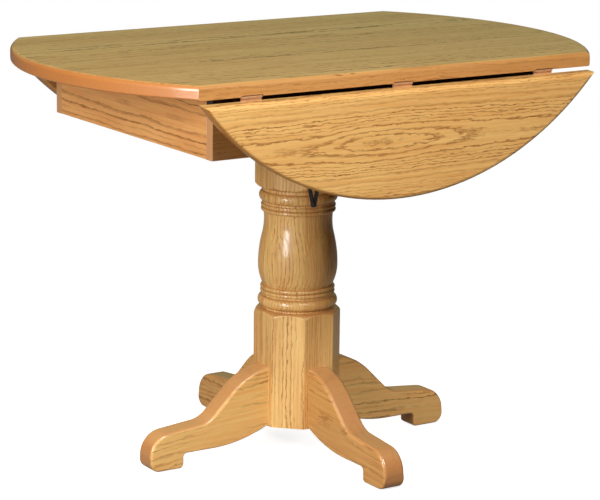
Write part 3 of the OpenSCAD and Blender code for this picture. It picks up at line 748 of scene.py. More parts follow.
@dataclass
class TurnedColumn:
    """The column: two eight-sided blocks with a turned length of beads, vase and neck between them."""

    kit: Kit
    # Heights, and the blocks' width over their flats. A shoulder is the hollow that ends a block.
    foot: float = 54.0
    head: float = 682.0
    flats: float = 152.0
    lower_block: float = 271.5
    upper_block: float = 500.0
    shoulder: float = 16.0
    # The grooves' radius. A roll has its middle's height, half its own height and its radius, and the beads
    # have their middles' heights, and half their own and their radius under "bead".
    groove: float = 66.5
    lower_roll: Triple = (285.5, 11.5, 74.3)
    lower_beads: Pair = (303.0, 311.0)
    upper_beads: Pair = (458.0, 466.0)
    upper_roll: Triple = (483.5, 11.5, 73.0)
    bead: Pair = (4.0, 69.5)
    # The vase's widest place and the neck's narrowest, and the radii of the vase's curves below and above.
    vase: Pair = (354.0, 74.0)
    vase_curves: Pair = (85.0, 230.0)
    neck: Pair = (438.5, 63.5)
    # The bore's radius and depth, and the seats of the leg bolts' nuts in its wall.
    bore: Pair = (36.0, 150.0)
    bolts: Pair = (90.0, 140.0)
    seat: Pair = (13.0, 40.0)
    ease: float = 1.2
    facets: int = 160

    def roll(self, middle: float, half: float, greatest: float) -> Points:
        """Draws one bead between two grooves.

        Args:
            middle: the height of its middle.
            half: half its height.
            greatest: its greatest radius.

        Returns:
            The radii and heights of its points.
        """
        open_angle = math.degrees(math.acos((self.groove - greatest + half) / half))
        return arc((greatest - half, middle), half, -open_angle, open_angle, 14)

    def profile(self) -> Points:
        """Draws the half section from the top of the bore round the outside to the top of the column.

        Returns:
            The radii and heights of its points.
        """
        wide = self.flats / 2 / math.cos(EIGHTH / 2) + 1
        low, high = self.lower_block, self.upper_block
        bead_h, bead_r = self.bead
        vase_z, vase_r = self.vase
        low_curve, high_curve = self.vase_curves
        neck_z, neck_r = self.neck
        bore_r, bore_z = self.bore
        drop, rise = vase_r - neck_r, neck_z - vase_z
        neck_curve = (rise * rise / drop + drop) / 2 - high_curve
        join = vase_z + rise * high_curve / (high_curve + neck_curve)
        bead_top, bead_low = self.lower_beads[1] + bead_h, self.upper_beads[0] - bead_h
        start = -math.degrees(math.asin((vase_z - bead_top) / low_curve))
        turn = math.degrees(math.asin((join - vase_z) / high_curve))
        past = math.degrees(math.asin((bead_low - neck_z) / neck_curve))
        points = [(0.0, self.foot + bore_z), (bore_r, self.foot + bore_z)]
        points += [(bore_r, self.foot), (wide, self.foot)]
        points += arc((wide - self.shoulder, low - self.shoulder), self.shoulder, 0, 90, 20)
        points.append((self.groove, low))
        points += self.roll(*self.lower_roll)
        for middle in self.lower_beads:
            points += self.roll(middle, bead_h, bead_r)
        points.append((self.groove, bead_top))
        points += arc((vase_r - low_curve, vase_z), low_curve, start, 0, 14)
        points += arc((vase_r - high_curve, vase_z), high_curve, 0, turn, 14)[1:]
        points += arc((neck_r + neck_curve, neck_z), neck_curve, 180 + turn, 180 - past, 12)[1:]
        points.append((self.groove, bead_low))
        for middle in self.upper_beads:
            points += self.roll(middle, bead_h, bead_r)
        points += self.roll(*self.upper_roll)
        points.append((self.groove, high))
        points += arc((wide - self.shoulder, high + self.shoulder), self.shoulder, -90, 0, 20)
        return points + [(wide, self.head), (0.0, self.head)]

    def tree(self) -> NodeTree:
        """Builds the Geometry Nodes tree that turns the profile and cuts it to eight flats where it is wider.

        Returns:
            The tree, whose inputs are the width over the flats, the easing of the arrises and the finish.
        """
        inputs = {"Profile": "Geometry", "Across flats": "Float", "Easing": "Float", "Facets": "Int",
                  "Finish": "Material"}
        tree = new_group("turned column", "GeometryNodeTree", inputs, {"Column": "Geometry"})
        node = partial(add, tree)
        given = node("NodeGroupInput").outputs
        profile, flats, easing = given["Profile"], given["Across flats"], given["Easing"]
        count = node("GeometryNodeAttributeDomainSize", {"Geometry": profile}, component="MESH")
        count = count.outputs["Point Count"]
        around = node("ADD", given["Facets"], 1.0)
        sheet = node("GeometryNodeMeshGrid", 1.0, 1.0, around, count)
        spot = node(SPLIT, node("GeometryNodeInputPosition")).outputs
        row = node("ROUND", node("MULTIPLY", node("ADD", spot["Y"], 0.5), node("SUBTRACT", count, 1.0)))
        taken = {"Geometry": profile, "Value": node("GeometryNodeInputPosition"), "Index": row}
        section = node("GeometryNodeSampleIndex", taken, data_type="FLOAT_VECTOR", domain="POINT")
        section = node(SPLIT, section).outputs
        # The facets crowd towards the eight arrises, where the easing needs them: 1.4 t - 1.6 t cubed is
        # steep at the middle of a flat, nearly level at its ends, and there still half a flat.
        around = node("MULTIPLY", spot["X"], 8.0)
        flat = node("ROUND", around)
        inside = node("SUBTRACT", around, flat)
        straight = node("MULTIPLY", inside, 1.4)
        warped = node("MULTIPLY_ADD", node("POWER", inside, 3.0), -1.6, straight)
        off = node("MULTIPLY", warped, EIGHTH)
        angle = node("MULTIPLY_ADD", flat, EIGHTH, off)
        half = node("MULTIPLY", flats, 0.5)
        limit = node("DIVIDE", half, node("COSINE", off))
        corner = node("MULTIPLY", half, 1 / math.cos(EIGHTH / 2))
        limit = node("SMOOTH_MIN", limit, node("MULTIPLY_ADD", easing, -0.3, corner), easing)
        radius = node("SMOOTH_MIN", section["X"], limit, easing)
        x = node("MULTIPLY", radius, node("COSINE", angle))
        y = node("MULTIPLY", radius, node("SINE", angle))
        place = node(JOIN, x, y, section["Z"])
        turned = node("GeometryNodeSetPosition", {"Geometry": sheet, "Position": place})
        closed = node("GeometryNodeMergeByDistance", {"Geometry": turned, "Distance": 1e-5})
        real = node("GeometryNodeRealizeInstances", closed)
        done = node("GeometryNodeSetMaterial", {"Geometry": real, "Material": given["Finish"]})
        node("NodeGroupOutput", {"Column": done})
        return tree

    def seats(self) -> Object:
        """Draws the eight round seats of the leg bolts' nuts in the wall of the bore.

        Returns:
            A cutter.
        """
        radius, depth = self.seat
        bm = bmesh.new()
        for height in self.bolts:
            for quarter in range(4):
                turn = Matrix.Rotation(quarter * 2 * EIGHTH, 4, "Z")
                lay = Matrix.Rotation(2 * EIGHTH, 4, "Y")
                lay = Matrix.Translation(((depth - 10) * MM, 0, height * MM)) @ lay
                bmesh.ops.create_cone(
                    bm, cap_ends=True, segments=40, radius1=radius * MM, radius2=radius * MM, depth=20 * MM,
                    matrix=turn @ lay)
        return cast(bm, "seat_cutter")

    def build(self) -> None:
        """Turns the column from its profile and dresses it stave by stave."""
        oak = Oak(
            "lacquered golden oak, column staves", "ZXY", Layout.STAVES, centre=(62, 76), seed=8.0, ring=4.6,
            pith_depth=52, pith_spread=70, wander=9, unrest=0.6, end_from=0.55, end_share=0.6, pale="#f3c87e",
            warm="#cd8a47", dark="#9c6127", end="#b4713a", lacquer=0.65, gloss=0.15)
        points = self.profile()
        mesh = bpy.data.meshes.new("column profile")
        links = [(i, i + 1) for i in range(len(points) - 1)]
        mesh.from_pydata([(r * MM, 0, z * MM) for r, z in points], links, [])
        column = run_tree(shown(mesh, "turned_column"), self.tree(), {
            "Across flats": self.flats * MM, "Easing": self.ease * MM, "Facets": self.facets,
            "Finish": oak.material()})
        cutter = self.seats()
        cut = column.modifiers.new("nut seats", "BOOLEAN")
        cut.object = cutter
        cut.solver = "EXACT"
        column = baked(column)
        bpy.data.objects.remove(cutter)
        self.kit.settle(smoothed(column, 42), "table", "oak_column", oak, "column")


@dataclass
class Legs:
    """The four scrolled legs: slabs cut to one outline, with their upper arrises well rounded."""

    kit: Kit
    # Where a leg starts, off the axis, how high it is there, its thickness and how far out it reaches.
    start: float = 76.0
    top: float = 169.0
    thick: float = 44.0
    reach: float = 327.0
    round_above: float = 6.5
    round_below: float = 3.0
    # The upper line: the hump's lead and radius, the instep's place, height and radius, both slopes, the toe.
    hump: Pair = (22.0, 140.0)
    dip: Triple = (225.5, 78.5, 50.0)
    fall: float = 45.0
    rest: float = 6.0
    toe: float = 44.0
    # The lower line: the toe's lean and rounding, the heel's place and roundings, the glide, the arch.
    nose: Pair = (1.0, 19.0)
    heel: Triple = (257.0, 7.0, 8.0)
    glide: float = 2.0
    arch: Triple = (195.0, 29.0, 280.0)
    steps: int = 6

    def outline(self) -> tuple[Points, list[float]]:
        """Draws the side view of a leg that points along +X.

        Returns:
            The points, outwards and upwards, and the rounding at each of them.
        """
        lead, hump_r = self.hump
        dip_u, instep, dip_r = self.dip
        rest = math.radians(self.rest)
        hump = (self.start - lead, self.top - math.sqrt(hump_r**2 - lead**2))
        toe_u = self.reach - self.toe
        toe_z = instep - (toe_u - dip_u) * math.tan(rest) - self.toe / math.cos(rest)
        toe_z += dip_r * (1 / math.cos(rest) - 1)
        lean, nose = self.nose
        heel_u, rise, heel_r = self.heel
        arch_u, arch_z, arch_r = self.arch
        # The leg's first point lies on the hump, so that the hump's arc starts 2 degrees further out.
        first = 90 - math.degrees(math.asin(lead / hump_r)) - 2
        upper = [(self.start, self.top)] + arc(hump, hump_r, first, 90 - self.fall, 16)
        upper += arc((dip_u, instep + dip_r), dip_r, 270 - self.fall, 270 - self.rest, 16)
        upper += arc((toe_u, toe_z), self.toe, 90 - self.rest, 0, 18)
        lower = arc((self.reach - lean - nose, self.glide + nose), nose, 0, -90, 8)
        lower += arc((heel_u + rise, self.glide + rise), rise, 270, 180, 4)
        lower += arc((heel_u - heel_r, arch_z - heel_r), heel_r, 0, 90, 6)
        end = 270 - math.degrees(math.asin((arch_u - self.start) / arch_r))
        lower += arc((arch_u, arch_z + arch_r), arch_r, 270, end, 14)
        return upper + lower, [self.round_above] * len(upper) + [self.round_below] * len(lower)

    def slab(self, name: str, turn: float) -> Object:
        """Cuts one leg.

        Args:
            name: the piece's name.
            turn: the way the leg points, in degrees from +X.

        Returns:
            The leg.
        """
        points, rounds = self.outline()
        count = len(points)
        ahead = [(after[0] - before[0], after[1] - before[1]) for before, after in zip(points, points[2:])]
        inward = [(dz / math.hypot(du, dz), -du / math.hypot(du, dz)) for du, dz in [(1, 0), *ahead, (-1, 0)]]
        turned = Matrix.Rotation(math.radians(turn), 4, "Z")
        rings = []
        for side in (1, -1):
            for k in range(self.steps + 1):
                a = math.pi / 2 * k / self.steps
                ring = []
                for (u, z), (du, dz), r in zip(points, inward, rounds):
                    rise = r * (1 - math.sin(a))
                    aside = side * (self.thick / 2 - r * (1 - math.cos(a)))
                    ring.append((u + du * rise, aside, z + dz * rise))
                rings.append(ring)
        half = self.steps + 1
        rings = rings[:half] + rings[half:][::-1]
        bm = bmesh.new()
        made = [[bm.verts.new(turned @ Vector(p) * MM) for p in ring] for ring in rings]
        for one, two in zip(made, made[1:]):
            for i in range(count):
                j = (i + 1) % count
                bm.faces.new((one[i], one[j], two[j], two[i]))
        bm.faces.new(made[0][::-1])
        bm.faces.new(made[-1])
        bmesh.ops.recalc_face_normals(bm, faces=bm.faces)
        return smoothed(cast(bm, name), 38)

    def build(self) -> None:
        """Cuts, rounds and dresses the four legs, each from its own board."""
        # The two legs that lie across are drawn from paler colours: painted light, lifting legs that the
        # lamps leave partly in shade.
        across, along = ("#f9d486", "#eead62"), ("#e4b16a", "#cb8944")
        for name, turn, axes, side, seed, (pale, warm) in (
            ("leg_right", 0, "XZY", 1, 15.0, across),
            ("leg_back", 90, "YZX", 1, 16.0, along),
            ("leg_left", 180, "XZY", -1, 17.0, across),
            ("leg_front", 270, "YZX", -1, 18.0, along),
        ):
            oak = Oak(
                f"lacquered golden oak, {name.replace('_', ' ')}", axes, centre=(112, 0), tilt=-4.0 * side,
                seed=seed, ring=10.0, pith_depth=38, pith_spread=30, wander=24, arch_at=115.0 * side,
                arch_pull=30, unrest=1.2, fade=0.0, plain_edge=0.85, end_from=0.6, pale=pale, warm=warm,
                end="#c3844e", edge="#c68c55", lacquer=0.8)
            self.kit.settle(self.slab(f"scrolled_{name}", turn), "table", "oak_leg", oak, name)


@dataclass
class Fastener:
    """A kind of fastener that Geometry Nodes draw once and set on each point of a row, the way it faces.

    The item's own Z axis is the way it is driven, and Z = 0 is the face that it bears on or shows.
    """

    name: str
    sizes: dict[str, float]

    def item(self, tree: NodeTree, given: NodeOutputs) -> Node:
        """Draws one item; each kind has its own.

        Args:
            tree: the tree.
            given: the tree's inputs.

        Returns:
            The node whose output is the item.
        """
        raise NotImplementedError

    def rod(self, tree: NodeTree, radius: object, start: object, end: object, sides: int) -> Node:
        """Draws a cylinder along Z.

        Args:
            tree: the tree.
            radius: its radius.
            start: where it starts.
            end: where it ends.
            sides: how many sides it has.

        Returns:
            The node whose output is the cylinder.
        """
        length = add(tree, "SUBTRACT", end, start)
        middle = add(tree, "MULTIPLY", add(tree, "ADD", end, start), 0.5)
        bar = add(tree, "GeometryNodeMeshCylinder", {"Vertices": sides, "Radius": radius, "Depth": length})
        lift = add(tree, JOIN, {"Z": middle})
        return add(tree, "GeometryNodeTransform", {"Geometry": bar, "Translation": lift})

    def taper(self, tree: NodeTree, wide: object, narrow: object, start: object, depth: object,
              sides: int) -> Node:
        """Draws a cone or the stump of one along Z.

        Args:
            tree: the tree.
            wide: its radius at the start.
            narrow: its radius at the end.
            start: where it starts.
            depth: how far it goes.
            sides: how many sides it has.

        Returns:
            The node whose output is the cone.
        """
        sizes = {"Vertices": sides, "Radius Top": narrow, "Radius Bottom": wide, "Depth": depth}
        cone = add(tree, "GeometryNodeMeshCone", sizes)
        lift = add(tree, JOIN, {"Z": start})
        return add(tree, "GeometryNodeTransform", {"Geometry": cone, "Translation": lift})

    def tree(self) -> NodeTree:
        """Builds the tree at its first use.

        Returns:
            The tree, with one named input for each size and one for the finish.
        """
        known = bpy.data.node_groups.get(self.name)
        if known:
            return known
        inputs = {"Points": "Geometry"} | dict.fromkeys(self.sizes, "Float") | {"Finish": "Material"}
        tree = new_group(self.name, "GeometryNodeTree", inputs, {"Fasteners": "Geometry"})
        node = partial(add, tree)
        given = node("NodeGroupInput").outputs
        item = self.item(tree, given)
        facing = node("GeometryNodeInputNamedAttribute", {"Name": "facing"}, data_type="FLOAT_VECTOR")
        aimed = node("FunctionNodeAlignRotationToVector", {"Vector": facing}, axis="Z")
        chance = node("FunctionNodeRandomValue", {"Max": math.tau, "Seed": 7}, data_type="FLOAT")
        spin = node(JOIN, {"Z": chance.outputs["Value"]})
        spun = {"Rotation": aimed, "Rotate By": spin}
        spun = node("FunctionNodeRotateRotation", spun, rotation_space="LOCAL")
        row = {"Points": given["Points"], "Instance": item, "Rotation": spun}
        real = node("GeometryNodeRealizeInstances", node("GeometryNodeInstanceOnPoints", row))
        done = node("GeometryNodeSetMaterial", {"Geometry": real, "Material": given["Finish"]})
        node("NodeGroupOutput", {"Fasteners": done})
        return tree

    def row(self, name: str, places: Places, finish: Finish) -> Object:
        """Sets the fastener on a row of points.

        Args:
            name: the piece's name.
            places: for each fastener its point in mm and the way it is driven.
            finish: its finish.

        Returns:
            One plain mesh with all of them.
        """
        mesh = bpy.data.meshes.new(name)
        mesh.from_pydata([point * MM for point, _ in places], [], [])
        facing = mesh.attributes.new("facing", "FLOAT_VECTOR", "POINT")
        for i, (_, way) in enumerate(places):
            facing.data[i].vector = way
        sizes = {size: value * MM for size, value in self.sizes.items()}
        piece = run_tree(shown(mesh, name), self.tree(), sizes | {"Finish": finish.material()})
        piece.data.shade_smooth()
        piece.data.set_sharp_from_angle(angle=math.radians(35))
        return piece


class WoodScrew(Fastener):
    """A countersunk wood screw with a cross recess, driven home so that its head lies flush."""

    def item(self, tree: NodeTree, given: NodeOutputs) -> Node:
        """Draws the head with its recess, the shank and the point.

        Args:
            tree: the tree.
            given: the tree's inputs.

        Returns:
            The node whose output is the screw.
        """
        node = partial(add, tree)
        head, shank = given["Head radius"], given["Shank radius"]
        cone = node("SUBTRACT", head, shank)
        tip = node("MULTIPLY", shank, 2.0)
        body_end = node("SUBTRACT", given["Length"], tip)
        flat = self.taper(tree, head, shank, 0.0, cone, 32)
        arm, slit = node("MULTIPLY", head, 1.15), node("MULTIPLY", head, 0.24)
        deep = node("MULTIPLY", cone, 1.2)
        cross = [node("GeometryNodeMeshCube", node(JOIN, *size, deep)) for size in ((arm, slit), (slit, arm))]
        recess = {"Mesh 1": flat, "Mesh 2": cross}
        cut = node("GeometryNodeMeshBoolean", recess, operation="DIFFERENCE", solver="EXACT")
        bar = self.rod(tree, shank, cone, body_end, 16)
        point = self.taper(tree, shank, 0.0, body_end, tip, 16)
        return node("GeometryNodeJoinGeometry", [cut, bar, point])


class HexScrew(Fastener):
    """A bolt, a coach screw or, with no shank, a nut: a six-sided head with its outer corners chamfered."""

    def item(self, tree: NodeTree, given: NodeOutputs) -> Node:
        """Draws the head behind Z = 0 and the shank before it.

        Args:
            tree: the tree.
            given: the tree's inputs.

        Returns:
            The node whose output is the bolt.
        """
        node = partial(add, tree)
        head, high = given["Head radius"], given["Head height"]
        back = node("MULTIPLY", high, -1.0)
        # The face is round to 0.82 of the head's radius, and the chamfer runs at 30 degrees to it.
        near = node("MULTIPLY", head, 0.82)
        far = node("MULTIPLY_ADD", high, 1.73, near)
        solids = [self.rod(tree, head, back, 0.0, 6), self.taper(tree, near, far, back, high, 48)]
        top = node("GeometryNodeMeshBoolean", {"Mesh 2": solids}, operation="INTERSECT", solver="EXACT")
        bar = self.rod(tree, given["Shank radius"], 0.0, given["Length"], 24)
        return node("GeometryNodeJoinGeometry", [top, bar])


class Washer(Fastener):
    """A flat washer, pressed up against the wood."""

    def item(self, tree: NodeTree, given: NodeOutputs) -> Node:
        """Draws the ring before Z = 0.

        Args:
            tree: the tree.
            given: the tree's inputs.

        Returns:
            The node whose output is the washer.
        """
        high = given["Thickness"]
        disc = self.rod(tree, given["Radius"], 0.0, high, 48)
        under, past = add(tree, "MULTIPLY", high, -1.0), add(tree, "MULTIPLY", high, 2.0)
        ring = {"Mesh 1": disc, "Mesh 2": [self.rod(tree, given["Bore radius"], under, past, 32)]}
        return add(tree, "GeometryNodeMeshBoolean", ring, operation="DIFFERENCE", solver="EXACT")


class Rivet(Fastener):
    """A rivet with a low round head at one end or both."""

    def item(self, tree: NodeTree, given: NodeOutputs) -> Node:
        """Draws the shank and a flattened dome at each end that has a head.

        Args:
            tree: the tree.
            given: the tree's inputs.

        Returns:
            The node whose output is the rivet.
        """
        node = partial(add, tree)
        head = given["Head radius"]
        parts = [self.rod(tree, given["Shank radius"], 0.0, given["Length"], 24)]
        for height, place in (("First head", 0.0), ("Second head", given["Length"])):
            ball = node("GeometryNodeMeshUVSphere", {"Segments": 32, "Rings": 16, "Radius": 1.0})
            lift, shape = node(JOIN, {"Z": place}), node(JOIN, head, head, given[height])
            dome = {"Geometry": ball, "Translation": lift, "Scale": shape}
            parts.append(node("GeometryNodeTransform", dome))
        return node("GeometryNodeJoinGeometry", parts)


def grid(xs: Iterable[float], ys: Iterable[float], z: float, way: Vector) -> Places:
    """Lists fasteners in rows.

    Args:
        xs: the rows' places along X.
        ys: the places along Y in each row.
        z: the height of all of them.
        way: the way that they are driven.

    Returns:
        For each fastener its point and its way.
    """
    return [(Vector((x, y, z)), way) for x in xs for y in ys]


def round_table(places: Places) -> Places:
    """Turns fasteners half round the table, to the other side."""
    return [(HALF_TURN @ point, HALF_TURN @ way) for point, way in places]


@dataclass
class Hinges:
    """Six steel butt hinges plated in dull brass, with the screws of their flaps and of the stay brackets."""

    kit: Kit
    # The pins' line, the face the flaps lie on, the hinges' places along it and the screws in each flap.
    pin: Pair = (325.0, 736.0)
    face: float = 735.0
    at: Triple = (-306.0, 0.0, 306.0)
    flaps: Pair = (35.0, 46.0)
    screws: tuple[Pair, ...] = ((-13.0, 0.42), (0.0, 0.76), (13.0, 0.42))
    # The screws of the stay's brackets, and how far a leaf hangs down from level in degrees.
    stay: float = -160.0
    bracket: Pair = (11.5, 642.0)
    apron_face: float = 283.0
    leaf_bracket: float = 452.890
    hanging: float = 94.5

    def hung(self, places: Places) -> Places:
        """Turns fasteners of the raised front leaf to where they are with the leaf down.

        Args:
            places: the fasteners with the leaf up.

        Returns:
            The fasteners with the leaf hanging.
        """
        turn = Matrix.Rotation(math.radians(self.hanging), 3, "X")
        pivot = Vector((0, -self.pin[0], self.pin[1]))
        return [(turn @ (point - pivot) + pivot, turn @ way) for point, way in places]

    def build(self) -> None:
        """Dresses the flaps and the pins, and sets all their screws."""
        self.kit.dress(BRASS, *(name for name in self.kit.nodes if name.startswith("hinge_")))
        fixed, leaf = [], []
        for x in self.at:
            for dx, share in self.screws:
                fixed.append((Vector((x + dx, share * self.flaps[0] - self.pin[0], self.face)), UP))
                leaf.append((Vector((x + dx, -share * self.flaps[1] - self.pin[0], self.face)), UP))
        holes = (self.stay - self.bracket[0], self.stay + self.bracket[0])
        fixed += grid(holes, [-self.apron_face], self.bracket[1], INWARD)
        leaf = self.hung(leaf + grid(holes, [-self.leaf_bracket], self.face, UP))
        screw = WoodScrew("hinge screw", {"Head radius": 4.0, "Shank radius": 2.0, "Length": 16.0})
        for name, places, body, node in (
            ("hinge_screws_top", fixed + round_table(fixed), "table", "top_screws"),
            ("hinge_screws_leaf_front", leaf, "leaf_front", "leaf_front_screws"),
            ("hinge_screws_leaf_back", round_table(leaf), "leaf_back", "leaf_back_screws"),
        ):
            self.kit.settle(screw.row(name, places, BRASS), body, "hinge_steel", BRASS, node)


@dataclass
class Stays:
    """The two folding stays: pressed steel arms and brackets, painted black, with round-headed rivets."""

    kit: Kit
    # Where the stay hangs along the joint, and how far out and how high its pivots are with the leaf down.
    at: float = -160.0
    apron_pivot: Pair = (290.0, 642.0)
    elbow: Pair = (295.0, 534.0)
    leaf_pivot: Pair = (306.99054, 609.13207)
    shank: float = 2.5
    head: Pair = (4.4, 1.2)
    no_head: float = 0.01
    ease: float = 0.5

    def rivet(self, name: str, spot: Pair, span: Pair, heads: tuple[bool, bool],
              body: str, node: str, sides: tuple[bool, ...]) -> None:
        """Sets rivets of one length through the stays.

        Args:
            name: the piece's name.
            spot: how far out the rivet lies and its height.
            span: where its shank starts and ends, off the middle of the stay.
            heads: whether it has a head at its start and at its end.
            body: the body it rides on.
            node: the node it stands for.
            sides: for each rivet whether it is at the back.
        """
        start, end = span
        radius, high = self.head
        front = [(Vector((self.at + start, -spot[0], spot[1])), RIGHT)]
        places = [place for back in sides for place in (round_table(front) if back else front)]
        first, second = (high if head else self.no_head for head in heads)
        sizes = {"Shank radius": self.shank, "Length": end - start, "Head radius": radius}
        sizes |= {"First head": first, "Second head": second}
        piece = Rivet("stay rivet", sizes).row(name, places, BLACK)
        self.kit.settle(piece, body, "stay_black", BLACK, node)

    def build(self) -> None:
        """Eases and dresses the arms and brackets, and sets the rivets."""
        for side in ("front", "back"):
            for part, body in (
                ("apron_bracket", "table"),
                ("apron_arm", f"stay_{side}_apron_arm"),
                ("leaf_arm", f"stay_{side}_leaf_arm"),
                ("leaf_bracket", f"leaf_{side}"),
            ):
                node = f"stay_{side}_{part}"
                piece = self.kit.eased(f"{side}_{part}", node, self.ease, 8)
                self.kit.settle(piece, body, "stay_black", BLACK, node)
        self.rivet("apron_rivets", self.apron_pivot, (-5.6, -0.15), (True, True), "table",
                   "stay_apron_rivets", (False, True))
        for side, sides in (("front", (False,)), ("back", (True,))):
            for part, spot, span, heads, body in (
                ("elbow_rivet", self.elbow, (-2.8, -0.15), (True, False), f"stay_{side}_apron_arm"),
                ("elbow_head", self.elbow, (0.15, 2.8), (False, True), f"stay_{side}_leaf_arm"),
                ("leaf_rivet", self.leaf_pivot, (0.15, 5.6), (True, True), f"leaf_{side}"),
            ):
                self.rivet(f"{side}_{part}", spot, span, heads, body, f"stay_{side}_{part}", sides)


@dataclass
class Fixings:
    """The screws, bolts, washers and nuts that hold the carrier, the column and the legs together."""

    kit: Kit
    # Places: the battens' screws, the corner blocks', the plate's bolts and the column's lag screws.
    batten: Pair = (98.0, 702.0)
    along: tuple[float, ...] = (-205.0, 0.0, 205.0)
    block: Triple = (314.0, 241.0, 692.0)
    bolt: Triple = (98.0, 85.0, 682.0)
    lag: float = 44.0
    leg_bolts: Pair = (90.0, 140.0)
    seat: float = 40.0
    washer: float = 2.0

    def build(self) -> None:
        """Sets every row and dresses what stays as packed."""
        bx, bz = self.batten
        ox, oy, oz = self.block
        px, py, pz = self.bolt
        lags = (-self.lag, self.lag)
        thread = {"Head radius": 4.0, "Shank radius": 2.0}
        hexagon = {"Head radius": 7.5, "Head height": 5.5, "Shank radius": 4.0}
        ways = [Vector((math.cos(a), math.sin(a), 0)) for a in (0, math.pi / 2, math.pi, 3 * math.pi / 2)]
        legs = [(way * (self.seat - self.washer) + UP * z, way) for way in ways for z in self.leg_bolts]
        for kind, name, sizes, row, places, node in (
            (WoodScrew, "batten screw", thread | {"Length": 52.0}, "batten_screw_row",
             grid((-bx, bx), self.along, bz, UP), "batten_screws"),
            (WoodScrew, "block screw", thread | {"Length": 62.0}, "block_screw_row",
             grid((-ox, ox), (-oy, oy), oz, UP), "block_screws"),
            (HexScrew, "plate bolt", hexagon | {"Length": 44.0}, "plate_bolt_row",
             grid((-px, px), (-py, py), pz - self.washer, UP), "plate_bolts"),
            (Washer, "plate washer", {"Radius": 11.0, "Bore radius": 4.4, "Thickness": self.washer},
             "plate_washer_row", grid((-px, px), (-py, py), pz, DOWN), "plate_washers"),
            (HexScrew, "column lag screw", hexagon | {"Length": 69.0}, "column_lag_row",
             grid(lags, lags, bz, DOWN), "column_screws"),
            (HexScrew, "leg nut",
             {"Head radius": 9.0, "Head height": 8.0, "Shank radius": 5.0, "Length": 1.0},
             "leg_nut_row", legs, "leg_nuts"),
            (Washer, "leg washer", {"Radius": 10.0, "Bore radius": 5.4, "Thickness": self.washer},
             "leg_washer_row", legs, "leg_washers"),
        ):
            self.kit.settle(kind(name, sizes).row(row, places, ZINC), "table", "bolt_steel", ZINC, node)
        for finish, node in ((ZINC, "leg_bolts"), (BRASS, "plate_inserts"), (GLIDE, "foot_glides")):
            self.kit.dress(finish, node)


@dataclass(frozen=True)
class Paper(Finish):
    """Seamless studio paper that the camera sees as white, with a soft grey shadow close round the legs."""

    # Where the shadow starts to fade and where it is gone in metres, and how much of it lacquer mirrors.
    shadow: Pair = (0.42, 0.95)
    mirrored: float = 0.1
    # The paper in the shadow, its own glow there, and the dull paper that all other rays meet.
    grey: tuple[float, ...] = (0.6, 0.6, 0.6, 1)
    glow: float = 0.85
    dull: tuple[float, ...] = (0.23, 0.19, 0.12, 1)

    def surface(self, tree: NodeTree) -> Node:
        """Draws the paper, which other rays see as dull, so that the light it throws back stays low.

        Args:
            tree: the material's tree.

        Returns:
            The shader.
        """
        node = partial(add, tree)
        far = node(VECTOR, node(COORDS).outputs["Object"], operation="LENGTH").outputs["Value"]
        fade = node(RANGE, far, *self.shadow, **SMOOTH)
        rays = node("ShaderNodeLightPath").outputs
        seen = node("MAXIMUM", rays["Is Camera Ray"], rays["Is Transmission Ray"])
        seen = node("MAXIMUM", seen, node("MULTIPLY", rays["Is Glossy Ray"], self.mirrored))
        paper = node("ShaderNodeBsdfDiffuse", self.grey)
        glow = node("ShaderNodeEmission", WHITE, self.glow)
        white = node("ShaderNodeEmission", WHITE, 1.0)
        pale = node("ShaderNodeMixShader", fade, node("ShaderNodeAddShader", paper, glow), white)
        return node("ShaderNodeMixShader", seen, node("ShaderNodeBsdfDiffuse", self.dull), pale)


@dataclass
class Lamp:
    """One soft box that faces the table, in degrees, metres and watts."""

    name: str
    azimuth: float
    elevation: float
    distance: float
    size: Pair
    power: float
    # Whether lacquer and metal show its image, and the height that it points at.
    mirrored: bool = True
    aim: float = 0.45

    def hang(self) -> None:
        """Hangs the lamp where it faces the axis of the table."""
        data = bpy.data.lights.new(self.name, "AREA")
        data.shape = "RECTANGLE"
        data.size, data.size_y = self.size
        data.energy = self.power
        lamp = bpy.data.objects.new(self.name, data)
        az, el = math.radians(self.azimuth), math.radians(self.elevation)
        way = Vector((math.cos(az) * math.cos(el), math.sin(az) * math.cos(el), math.sin(el)))
        lamp.location = Vector((0, 0, self.aim)) + way * self.distance
        lamp.rotation_euler = way.to_track_quat("Z", "Y").to_euler()
        lamp.visible_glossy = self.mirrored
        bpy.context.scene.collection.objects.link(lamp)


